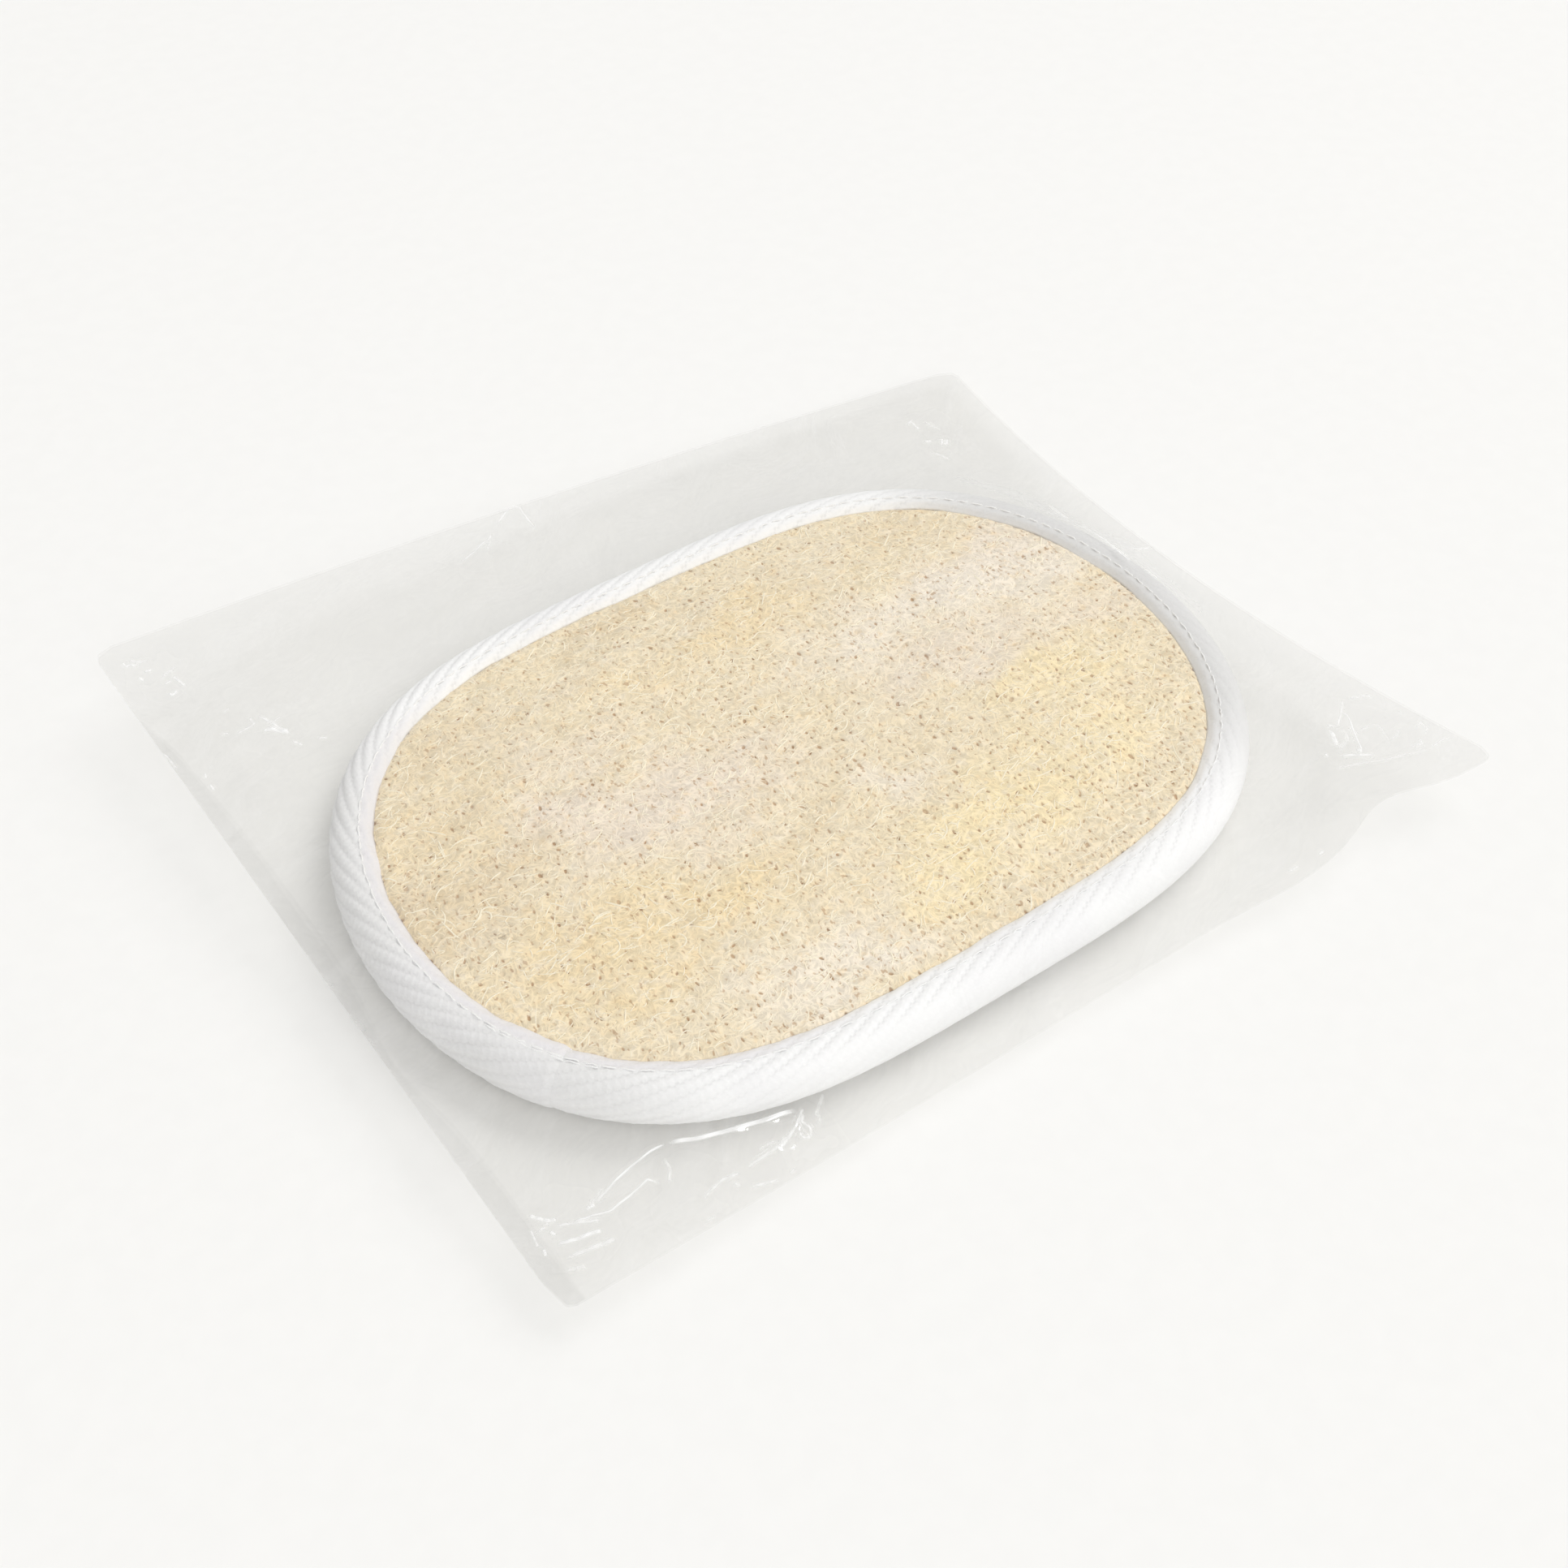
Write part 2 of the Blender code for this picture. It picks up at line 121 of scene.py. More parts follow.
# Fine creases of the upper panel: whiteness, the crease's own whitening with painted glints, then half width and
# points in millimetres
FRONT_CREASES = (
    (0.95, 0.24, ((-41.7, -63.2), (-46.7, -62.0), (-51.1, -60.7), (-55.5, -59.5), (-59.5, -58.0))),
    (0.85, 0.13, ((-59.5, -58.0), (-62.2, -57.9), (-65.2, -58.2), (-68.2, -58.8), (-71.2, -59.7), (-72.1, -60.2))),
    (0.95, 0.25, ((-73.4, -60.0), (-72.1, -60.1))),
    (0.40, 0.14, ((-69.9, -58.5), (-71.6, -59.3), (-72.8, -60.0))),
    (0.75, 0.13, ((-63.2, -62.1), (-64.4, -60.8), (-67.6, -61.5), (-70.9, -62.0), (-74.1, -61.1), (-76.2, -60.2))),
    (0.65, 0.15, ((-72.7, -62.5), (-74.5, -61.5), (-76.3, -60.3), (-77.7, -59.5))),
    (0.80, 0.22, ((-79.8, -55.9), (-79.2, -56.9), (-78.2, -58.2), (-77.1, -58.8))),
    (0.60, 0.15, ((-79.9, -58.7), (-78.9, -58.9))),
    (0.90, 0.18, ((-78.8, -59.7), (-78.4, -60.6))),
    (0.90, 0.22, ((-79.0, -61.7), (-77.6, -62.4), (-76.1, -63.0), (-74.7, -63.3), (-73.2, -63.8))),
    (0.50, 0.22, ((-79.0, -64.1), (-77.7, -64.5), (-76.1, -64.9), (-73.9, -65.3), (-72.2, -65.5))),
    (0.30, 0.22, ((-79.9, -65.5), (-78.6, -66.0), (-77.5, -66.5))),
    (0.60, 0.14, ((-80.6, -57.8), (-81.0, -60.0), (-81.1, -60.7))),
    (0.90, 0.18, ((-80.7, -61.3), (-80.9, -62.3))),
    (0.40, 0.16, ((-61.0, -59.4), (-61.0, -61.1), (-61.9, -62.1), (-61.5, -62.6))),
    (0.60, 0.15, ((-40.9, -63.3), (-41.9, -63.9), (-43.1, -64.7), (-45.9, -65.8), (-47.0, -65.9))),
    (0.60, 0.15, ((-41.3, -63.9), (-42.2, -64.7), (-41.6, -65.8), (-42.1, -66.9))),
    (0.65, 0.15, ((-43.2, -65.5), (-43.1, -66.4), (-42.2, -66.9))),
    (0.45, 0.18, ((-44.7, -64.8), (-46.3, -65.6), (-49.3, -65.7), (-52.0, -65.8))),
    (0.30, 0.16, ((-46.7, -64.8), (-48.1, -64.7), (-49.2, -64.7))),
    (0.45, 0.16, ((-53.1, -65.9), (-55.7, -65.5), (-58.6, -66.2), (-59.3, -66.6))),
    (0.45, 0.18, ((-49.1, -69.3), (-51.6, -68.6), (-53.0, -68.2))),
    (0.30, 0.22, ((-37.3, -63.0), (-39.7, -64.6), (-39.6, -65.3), (-40.6, -66.3))),
    (0.70, 0.18, ((-45.2, -66.8), (-44.5, -66.5))),
    (0.45, 0.16, ((-54.6, -66.6), (-54.2, -67.4))),
    (0.35, 0.16, ((-60.9, -69.3), (-59.5, -69.1))),
    (0.35, 0.16, ((-47.4, -69.2), (-46.4, -69.0))),
    (0.80, 0.14, ((-82.4, 67.5), (-82.2, 66.0), (-81.5, 66.3), (-80.8, 65.4))),
    (0.55, 0.14, ((-81.3, 67.4), (-80.1, 66.2), (-78.7, 65.6))),
    (0.95, 0.20, ((-80.3, 63.5), (-79.2, 63.2))),
    (0.90, 0.18, ((-81.6, 62.8), (-81.3, 61.7))),
    (0.50, 0.14, ((-78.3, 60.9), (-77.1, 61.2), (-75.8, 61.6))),
    (0.80, 0.18, ((-76.9, 60.0), (-76.5, 58.2), (-76.2, 57.1))),
    (0.85, 0.18, ((-79.0, 57.2), (-78.7, 56.4), (-77.6, 56.9))),
    (0.60, 0.15, ((-78.7, 59.2), (-77.6, 59.3))),
    (0.35, 0.20, ((-73.3, 49.2), (-72.4, 49.5))),
    (0.45, 0.20, ((-75.9, 45.0), (-74.7, 44.6))),
    (0.50, 0.20, ((-73.7, 43.9), (-72.3, 43.9), (-70.6, 44.0), (-70.7, 45.8))),
    (0.65, 0.18, ((-69.4, 45.3), (-68.8, 43.7), (-68.0, 41.2), (-66.8, 38.9))),
    (0.95, 0.26, ((-70.2, 41.9), (-68.8, 41.1), (-68.0, 39.9), (-66.7, 38.9))),
    (0.30, 0.18, ((-68.5, 42.2), (-66.6, 42.7))),
    (0.55, 0.20, ((-67.3, 37.2), (-66.4, 35.5))),
    (0.75, 0.16, ((-63.7, 35.4), (-62.6, 34.7))),
    (0.60, 0.16, ((-86.0, 48.2), (-85.4, 48.4))),
    (0.50, 0.16, ((-85.5, 45.5), (-85.0, 44.2), (-84.9, 42.7), (-84.8, 41.0))),
    (0.80, 0.14, ((-81.6, 38.1), (-81.8, 37.1))),
    (0.80, 0.14, ((-81.9, 35.6), (-81.9, 34.2))),
    (0.80, 0.36, ((69.0, -53.9), (68.1, -55.7), (66.8, -57.4))),
    (0.65, 0.15, ((69.1, -52.8), (71.0, -53.8), (73.3, -52.3), (76.3, -49.9))),
    (0.85, 0.14, ((74.3, -51.7), (73.6, -53.7), (72.3, -55.7), (70.9, -57.9), (68.8, -61.0))),
    (0.35, 0.30, ((70.1, -54.6), (70.6, -55.6), (69.7, -57.1), (67.4, -58.0), (65.7, -59.1))),
    (0.70, 0.16, ((65.6, -59.2), (67.5, -60.5), (69.2, -61.6), (70.3, -62.2))),
    (0.80, 0.20, ((63.7, -57.8), (63.8, -58.4))),
    (0.95, 0.24, ((68.6, -59.9), (69.1, -60.7))),
    (0.60, 0.16, ((77.3, -50.2), (78.9, -51.1), (80.2, -51.4), (80.3, -52.7))),
    (0.30, 0.16, ((72.6, -56.6), (75.7, -57.3), (75.8, -58.4), (74.2, -61.6))),
    (0.45, 0.16, ((74.8, -61.5), (76.4, -61.3), (77.7, -60.5))),
    (0.45, 0.16, ((80.1, -62.0), (81.6, -61.4), (81.5, -62.9), (80.2, -63.7))),
    (0.60, 0.18, ((76.3, -64.4), (78.0, -65.0), (78.5, -63.9))),
    (0.40, 0.16, ((78.8, -66.4), (81.0, -66.2), (82.8, -66.3))),
    (0.35, 0.16, ((62.8, -60.5), (67.6, -62.3), (71.2, -64.0), (78.4, -66.7))),
    (0.70, 0.20, ((50.1, -70.7), (51.1, -70.7))),
    (0.50, 0.18, ((44.3, -70.2), (46.2, -70.4))),
    (0.45, 0.16, ((81.1, -57.1), (81.2, -58.2))),
    (0.90, 0.16, ((65.6, 51.1), (66.9, 51.8), (66.0, 48.2))),
    (0.45, 0.16, ((68.7, 50.2), (69.0, 48.1), (70.0, 46.9))),
    (0.90, 0.18, ((63.9, 44.1), (65.3, 43.5))),
    (0.80, 0.18, ((67.9, 43.6), (66.5, 41.9))),
    (0.80, 0.18, ((68.8, 43.2), (67.4, 41.5))),
    (0.45, 0.16, ((62.8, 40.6), (64.0, 39.4), (64.8, 37.6))),
    (0.60, 0.20, ((70.9, 17.3), (69.6, 7.3), (69.4, 0.7), (69.0, -5.5), (68.8, -7.8))),
    (0.80, 0.16, ((68.9, -2.7), (68.9, -6.5))),
    (0.30, 0.20, ((69.7, -8.9), (69.8, -12.5))),
    (0.65, 0.16, ((74.2, -1.0), (75.0, -1.9), (79.0, -2.1))),
    (0.60, 0.15, ((-12.8, 69.3), (-9.0, 71.7), (-7.6, 72.7), (-6.7, 71.3), (-7.5, 64.2))),
    (0.65, 0.15, ((-23.7, 62.7), (-19.7, 64.2), (-15.9, 65.9), (-14.8, 67.1))),
    (0.45, 0.15, ((-17.9, 62.8), (-16.2, 65.2))),
)

# Crumpled places of the upper panel: middle in millimetres, reach, depth and seed
FRONT_CRUMPLES = (
    ((-42.0, -67.0), 7.0, 0.22, 3),
    ((-60.0, -66.0), 9.0, 0.22, 5),
    ((-76.0, -61.0), 9.0, 0.22, 7),
    ((72.5, -55.0), 10.0, 0.40, 11),
    ((79.5, -61.0), 8.0, 0.30, 13),
    ((-78.5, 61.0), 8.0, 0.25, 17),
    ((-68.5, 47.5), 9.0, 0.25, 19),
    ((70.0, 49.5), 8.0, 0.22, 29),
    ((-20.0, 64.0), 9.0, 0.20, 31),
)

# Curled fibres: name, seed, range of lengths and of radii in millimetres, points on each, how much they turn,
# how light they are and how deep they lie in millimetres
SHORT_FIBRES = ("loofah_fibres_short", 71, (1.0, 3.2), (0.100, 0.155), 5, 1.0, 0.80, 0.120)
LONG_FIBRES = ("loofah_fibres_long", 73, (2.2, 5.2), (0.110, 0.170), 8, 0.90, 1.00, 0.110)

# Colours of the foam's cells and of the terry's loops: the darker one is painted shade in their dips, the lighter
# one their crests
FOAM_COLOURS = ((0.780, 0.715, 0.560), (0.930, 0.895, 0.800))
TERRY_COLOURS = ((0.760, 0.755, 0.735), (0.930, 0.930, 0.915))

# Colours of the lamps and of the pale surround
LAMP_COLOUR = (1.0, 0.995, 0.985)
SKY_COLOUR = (1.0, 1.0, 0.995)

# Directions of the soft light in front, and of the small lights that give the film its glints
FILL_WAY = (-0.20, -0.80, 0.60)
GLINT_WAYS = ((-0.10, -0.62, 0.78), (-0.62, -0.05, 0.78))

# Soft patches of colour on the loofah: middle and reach in millimetres, and strength
PINK_PATCHES = (
    (-25.0, -9.0, 11.0, 1.0),
    (-38.0, -4.0, 8.0, 0.9),
    (30.0, -8.0, 8.0, 0.7),
    (-33.0, 8.0, 6.0, 0.5),
    (50.0, 10.0, 8.0, 0.7),
    (56.0, -12.0, 7.0, 0.5),
)
STRAW_PATCHES = (
    (-50.0, -25.0, 9.0, 1.0),
    (-34.0, -29.0, 7.0, 1.0),
    (-50.0, -35.0, 7.0, 0.9),
    (-24.0, -27.0, 4.0, 0.7),
    (6.0, 19.0, 7.0, 0.7),
    (-15.0, 18.0, 5.0, 0.6),
    (40.0, -20.0, 4.0, 0.6),
    (18.0, -38.0, 6.0, 0.4),
    (-22.0, -37.0, 5.0, 0.3),
    (-60.0, 9.0, 9.0, 0.4),
)
BRIGHT_PATCHES = (
    (40.0, -22.0, 8.0, 0.9),
    (15.0, -38.0, 9.0, 1.0),
    (34.0, -35.0, 9.0, 0.9),
    (2.0, -44.0, 6.0, 1.0),
)
PALE_PATCHES = (
    (22.0, 5.0, 9.0, 0.9),
    (46.0, 4.0, 10.0, 0.9),
    (-24.0, -49.0, 7.5, 1.0),
    (4.0, -25.0, 4.0, 0.7),
)
BROWN_PATCHES = (
    (-70.0, -6.0, 11.0, 1.0),
    (-12.0, 32.0, 4.0, 1.0),
    (-48.0, 22.0, 7.0, 0.6),
    (44.0, 25.0, 6.0, 0.5),
    (-14.0, -24.0, 3.0, 0.5),
    (-60.0, 9.0, 9.0, 0.3),
)
PATCH_STRETCH = 0.45


# ---------------------------------------------------------------- settings


def length(name, description, default):
    """A distance that a user may change."""
    return bpy.props.FloatProperty(
        name=name, description=description, default=default, unit="LENGTH", subtype="DISTANCE", precision=5
    )


def colour(name, description, default):
    """A colour that a user may change."""
    return bpy.props.FloatVectorProperty(
        name=name, description=description, default=default, subtype="COLOR", min=0.0, max=1.0
    )


def place(name, description, default):
    """A point that a user may change."""
    return bpy.props.FloatVectorProperty(
        name=name, description=description, default=default, unit="LENGTH", subtype="XYZ", precision=5
    )


def angle(name, description, degrees):
    """An angle that a user may change."""
    default = math.radians(degrees)
    return bpy.props.FloatProperty(name=name, description=description, default=default, subtype="ANGLE")


def number(name, description, default, low=0.0, high=10000.0):
    """A plain number that a user may change."""
    return bpy.props.FloatProperty(name=name, description=description, default=default, min=low, max=high)


def how_many(name, description, default, most):
    """A number of like things that a user may change."""
    return bpy.props.IntProperty(name=name, description=description, default=default, min=0, max=most)


def bow(edge, default):
    """How far the middle of a film edge leaves the straight line."""
    return place(f"{edge} edge bow", "How far the middle of the edge leaves the straight line", default)


class PadSettings(bpy.types.PropertyGroup):
    """Sizes of the pad's oval face."""

    centre: place(
        "Centre",
        "Middle of the pad on the plane that the bag lies on",
        ((TAPE_LOW.x + TAPE_HIGH.x) / 2.0, (TAPE_LOW.y + TAPE_HIGH.y) / 2.0, 0.0),
    )
    half_length: length(
        "Face half length",
        "From the middle to the tape's inner edge, along X",
        (TAPE_HIGH.x - TAPE_LOW.x) / 2.0 - BINDING_WIDTH,
    )
    half_width: length(
        "Face half width",
        "From the middle to the tape's inner edge, along Y",
        (TAPE_HIGH.y - TAPE_LOW.y) / 2.0 - BINDING_WIDTH,
    )
    end_power: number("End squareness", "Power of the outline along X; 2 is an ellipse", 3.66, 2.0, 8.0)
    side_power: number("Side squareness", "Power of the outline along Y; 2 is an ellipse", 2.0, 2.0, 8.0)


class LoofahSettings(bpy.types.PropertyGroup):
    """Look of the flattened loofah mat."""

    cell: length("Cell", "Distance between neighbouring pores", 1.56 * MM)
    pore_depth: length("Pore depth", "How deep an ordinary pore goes", 0.40 * MM)
    short_fibres: how_many("Short fibres", "Number of short curled fibres on the face", 4100, 4400)
    long_fibres: how_many("Long strands", "Number of longer strands across the face", 900, 2000)
    cream: colour("Cream", "Colour of the dried fibre", (0.888, 0.768, 0.555))
    pink: colour("Pink beige", "Colour of the paler inner fibre", (0.880, 0.776, 0.662))
    straw: colour("Straw", "Colour of the yellower patches", (0.912, 0.745, 0.462))
    bright: colour("Bright straw", "Colour of the lighter yellow patches", (0.955, 0.812, 0.515))
    pale: colour("Pale cream", "Colour of the washed-out patches", (0.940, 0.860, 0.745))
    brown: colour("Light brown", "Colour of the duller patches", (0.798, 0.658, 0.445))
    # Painted shade deep in the pores
    pore_shade: colour("Pore shade", "Colour deep in the pores", (0.530, 0.345, 0.195))
    amber: colour("Amber", "Colour of the small darker tangles", (0.865, 0.660, 0.390))
    curl: colour("Curl", "Colour of the loose fibres on top", (1.000, 0.930, 0.755))


class TapeSettings(bpy.types.PropertyGroup):
    """Look of the folded twill tape and its stitches."""

    ridge_pitch: length("Ridge pitch", "Distance from one twill ridge to the next", 1.87 * MM)
    ridge_height: length("Ridge height", "How far the boldest ridges stand above their grooves", 0.30 * MM)
    bead_pitch: length("Bead pitch", "Distance between the yarn's crossings along a ridge", 1.15 * MM)
    lean: angle("Twill lean", "Angle of the ridges to the tape's own length", 24.0)
    white: colour("Cotton white", "Colour of the tape", (0.965, 0.965, 0.970))
    shade: colour("Cotton shade", "Colour between the yarns", (0.800, 0.795, 0.800))
    # Painted shade: the tape is darkened round the pad's two ends
    painted_end_shade: colour("End shade white", "Colour of the tape round the pad's two ends", (0.735, 0.730, 0.727))
    lip_grey: colour("Lip grey", "Colour of the tape's lip beside its cut end", (0.835, 0.815, 0.840))
    wash: colour("Washed white", "Colour of the tape's faint, slow patches", (0.850, 0.840, 0.870))
    thread: colour("Thread white", "Colour of the sewing thread", (0.985, 0.985, 0.985))
    # Painted shade between the thread's plies
    twist: colour("Thread shade", "Colour between the thread's plies", (0.880, 0.880, 0.890))


class BagSettings(bpy.types.PropertyGroup):
    """Corners and look of the clear film bag."""

    left_back: place("Left back corner", "Tip of the corner", (-85.7 * MM, 71.7 * MM, 12.0 * MM))
    right_back: place("Right back corner", "Tip of the corner", (86.3 * MM, 63.2 * MM, 2.0 * MM))
    right_front: place("Right front corner", "Tip of the corner", (85.8 * MM, -73.3 * MM, 8.0 * MM))
    left_front: place("Left front corner", "Tip of the corner", (-83.2 * MM, -70.3 * MM, 5.0 * MM))
    back_bow: bow("Back", (0.0, 4.5 * MM, -2.0 * MM))
    right_bow: bow("Right", (-6.5 * MM, 0.0, -0.5 * MM))
    front_bow: bow("Front", (0.0, 1.4 * MM, -4.0 * MM))
    cell: length("Film cell", "Size of the film's mesh away from its creases", 1.3 * MM)
    seal_width: length("Seal width", "Width of the welded band along the left edge", 3.4 * MM)
    tint: colour("Film tint", "Share of light that one layer lets through", (0.985, 0.984, 0.979))
    # The film's white: its own faint whiteness and crease whitening, and also painted glints along the creases and
    # painted reflection streaks
    haze_and_painted_light: colour("Film haze", "Colour of the film where it is creased white", (0.950, 0.950, 0.945))


class StageSettings(bpy.types.PropertyGroup):
    """Floor, light and camera."""

    floor: colour("Floor", "Colour of the pale floor", (0.905, 0.900, 0.885))
    sky: number("Surround light", "Strength of the pale light all round", 0.600)
    key: number("Key light", "Power of the large soft light in watts", 276.0)
    fill: number("Fill light", "Power of the soft light in front in watts", 222.0)
    key_width: length("Key width", "Side of the large soft lights", 5.0)
    key_distance: length("Key distance", "How far the lights are from the pad", 8.0)
    glint: number("Glint light", "Power of each small light in watts", 70.0)
    glint_width: length("Glint width", "Side of each small light, which shows only as glints", 1.10)
    key_turn: angle("Key direction", "Direction of the large light from the pad", 10.0)
    key_rise: angle("Key height", "Angle of the large light above the floor", 45.0)
    lens: number("Lens", "Focal length in millimetres", 47.118, 10.0)
    camera_turn: angle("Camera turn", "Turn of the view from +Y towards +X", 35.39)
    camera_tilt: angle("Camera tilt", "How far the camera looks down", 46.39)
    camera_distance: length("Camera distance", "From the camera to the pad's centre", 0.3284)
    aim: bpy.props.FloatVectorProperty(
        name="Aim",
        description="Pad centre right of and above the picture's middle, over the focal length",
        size=2,
        default=(19.4 / 2528.7, -1.9 / 2528.7),
    )


# ---------------------------------------------------------------- shader language


class Flow:
    """A value or colour between shader nodes. Python's operators on values add Math nodes."""

    def __init__(self, tree, socket):
        self.tree = tree
        self.socket = socket

    def math(self, operation, *values, clamp=False):
        settings = {"operation": operation, "use_clamp": clamp}
        return self.tree.add("ShaderNodeMath", settings, dict(enumerate((self, *values))))

    def __add__(self, other):
        return self.math("ADD", other)

    def __sub__(self, other):
        return self.math("SUBTRACT", other)

    def __mul__(self, other):
        return self.math("MULTIPLY", other)

    def __radd__(self, other):
        return self.math("ADD", other)

    def __rmul__(self, other):
        return self.math("MULTIPLY", other)

    def __rsub__(self, other):
        return self.tree.add("ShaderNodeMath", {"operation": "SUBTRACT"}, {0: other, 1: self})

    def clamped(self):
        return self.math("ADD", 0.0, clamp=True)

    def between(self, low, high):
        """0 below low, 1 above high and a smooth rise between them."""
        settings = {"interpolation_type": "SMOOTHSTEP"}
        return self.tree.add("ShaderNodeMapRange", settings, {"Value": self, "From Min": low, "From Max": high})


class Finish:
    """A material made from nodes."""

    def __init__(self, name):
        self.material = bpy.data.materials.new(name)
        self.material.use_nodes = True
        self.nodes = self.material.node_tree.nodes
        self.nodes.clear()

    def add(self, kind, settings=None, sockets=None, output=0):
        """One node: its settings first, then the values or links of its sockets."""
        node = self.nodes.new(kind)
        for key, value in (settings or {}).items():
            setattr(node, key, value)
        for key, value in (sockets or {}).items():
            if isinstance(value, Flow):
                self.material.node_tree.links.new(value.socket, node.inputs[key])
            else:
                node.inputs[key].default_value = value
        return Flow(self, node.outputs[output])

    def mix(self, factor, first, second):
        """Mixes two colours."""
        first, second = ((*c, 1.0) if not isinstance(c, Flow) else c for c in (first, second))
        settings = {"data_type": "RGBA", "clamp_factor": True}
        return self.add("ShaderNodeMix", settings, {0: factor, 6: first, 7: second}, output=2)

    def noise(self, where, scale, detail=3.0, roughness=0.5, distortion=0.0):
        sockets = {"Vector": where, "Scale": scale, "Detail": detail, "Roughness": roughness}
        return self.add("ShaderNodeTexNoise", None, {**sockets, "Distortion": distortion})

    def mapped(self, where, scale, turn=0.0, shift=(0.0, 0.0, 0.0)):
        """The pattern's coordinates moved, turned about Z, then packed to so many repeats a metre."""
        size = tuple(1.0 / repeats for repeats in scale)
        sockets = {"Vector": where, "Scale": size, "Rotation": (0.0, 0.0, turn), "Location": shift}
        return self.add("ShaderNodeMapping", {"vector_type": "TEXTURE"}, sockets)

    def bent(self, where, scale, reach):
        """Coordinates pushed about by a slow pattern, so that straight streaks curl."""
        push = self.add("ShaderNodeTexNoise", None, {"Vector": where, "Scale": scale, "Detail": 1.0}, output=1)
        centred = self.add("ShaderNodeVectorMath", {"operation": "SUBTRACT"}, {0: push, 1: (0.5, 0.5, 0.5)})
        sockets = {0: centred, 1: (reach, reach, reach), 2: where}
        return self.add("ShaderNodeVectorMath", {"operation": "MULTIPLY_ADD"}, sockets)

    def attribute(self, name, output=2):
        return self.add("ShaderNodeAttribute", {"attribute_name": name}, None, output)

    def parts(self, vector):
        """The three numbers of a vector."""
        first = self.add("ShaderNodeSeparateXYZ", None, {0: vector})
        return [Flow(self, socket) for socket in first.socket.node.outputs]

    def principled(self, tone, roughness, bump, **more):
        """Ends the material with an opaque surface."""
        sockets = {"Base Color": tone, "Roughness": roughness, "Normal": bump}
        sockets.update({name.replace("_", " "): value for name, value in more.items()})
        return self.surface(self.add("ShaderNodeBsdfPrincipled", None, sockets))

    def bump(self, strength, distance, height):
        return self.add("ShaderNodeBump", None, {"Strength": strength, "Distance": distance, "Height": height})

    def object_place(self):
        return self.add("ShaderNodeTexCoord", None, None, output=3)

    def surface(self, flow):
        out = self.nodes.new("ShaderNodeOutputMaterial")
        self.material.node_tree.links.new(flow.socket, out.inputs["Surface"])
        return self.material


# ---------------------------------------------------------------- shapes


def smooth_step(t):
    t = np.clip(t, 0.0, 1.0)
    return t * t * (3.0 - 2.0 * t)


def swell(x, y, seed, size):
    """Slow random waves between about -1 and 1, with a mean wavelength of size."""
    dice = random.Random(seed)
    total = np.zeros_like(x)
    for _ in range(SWELL_WAVES):
        heading = dice.uniform(0.0, TAU)
        wave = TAU / (size * dice.uniform(0.6, 1.6))
        total = total + np.sin(wave * (x * math.cos(heading) + y * math.sin(heading)) + dice.uniform(0.0, TAU))
    return total / math.sqrt(SWELL_WAVES)


def distance_to_line(x, y, points):
    """Distance from each place to a line through points in millimetres, share of the way along it, and side."""
    points = [(px * MM, py * MM) for px, py in points]
    best = np.full_like(x, 1e9)
    along = np.zeros_like(x)
    side = np.ones_like(x)
    lengths = [math.dist(p, q) for p, q in zip(points, points[1:])]
    total = sum(lengths)
    done = 0.0
    for (px, py), (qx, qy), step in zip(points, points[1:], lengths):
        t = np.clip(((x - px) * (qx - px) + (y - py) * (qy - py)) / step ** 2, 0.0, 1.0)
        gap = np.hypot(x - px - t * (qx - px), y - py - t * (qy - py))
        nearer = gap < best
        best = np.where(nearer, gap, best)
        along = np.where(nearer, (done + t * step) / total, along)
        side = np.where(nearer, np.sign((qx - px) * (y - py) - (qy - py) * (x - px)), side)
        done += step
    return best, along, side


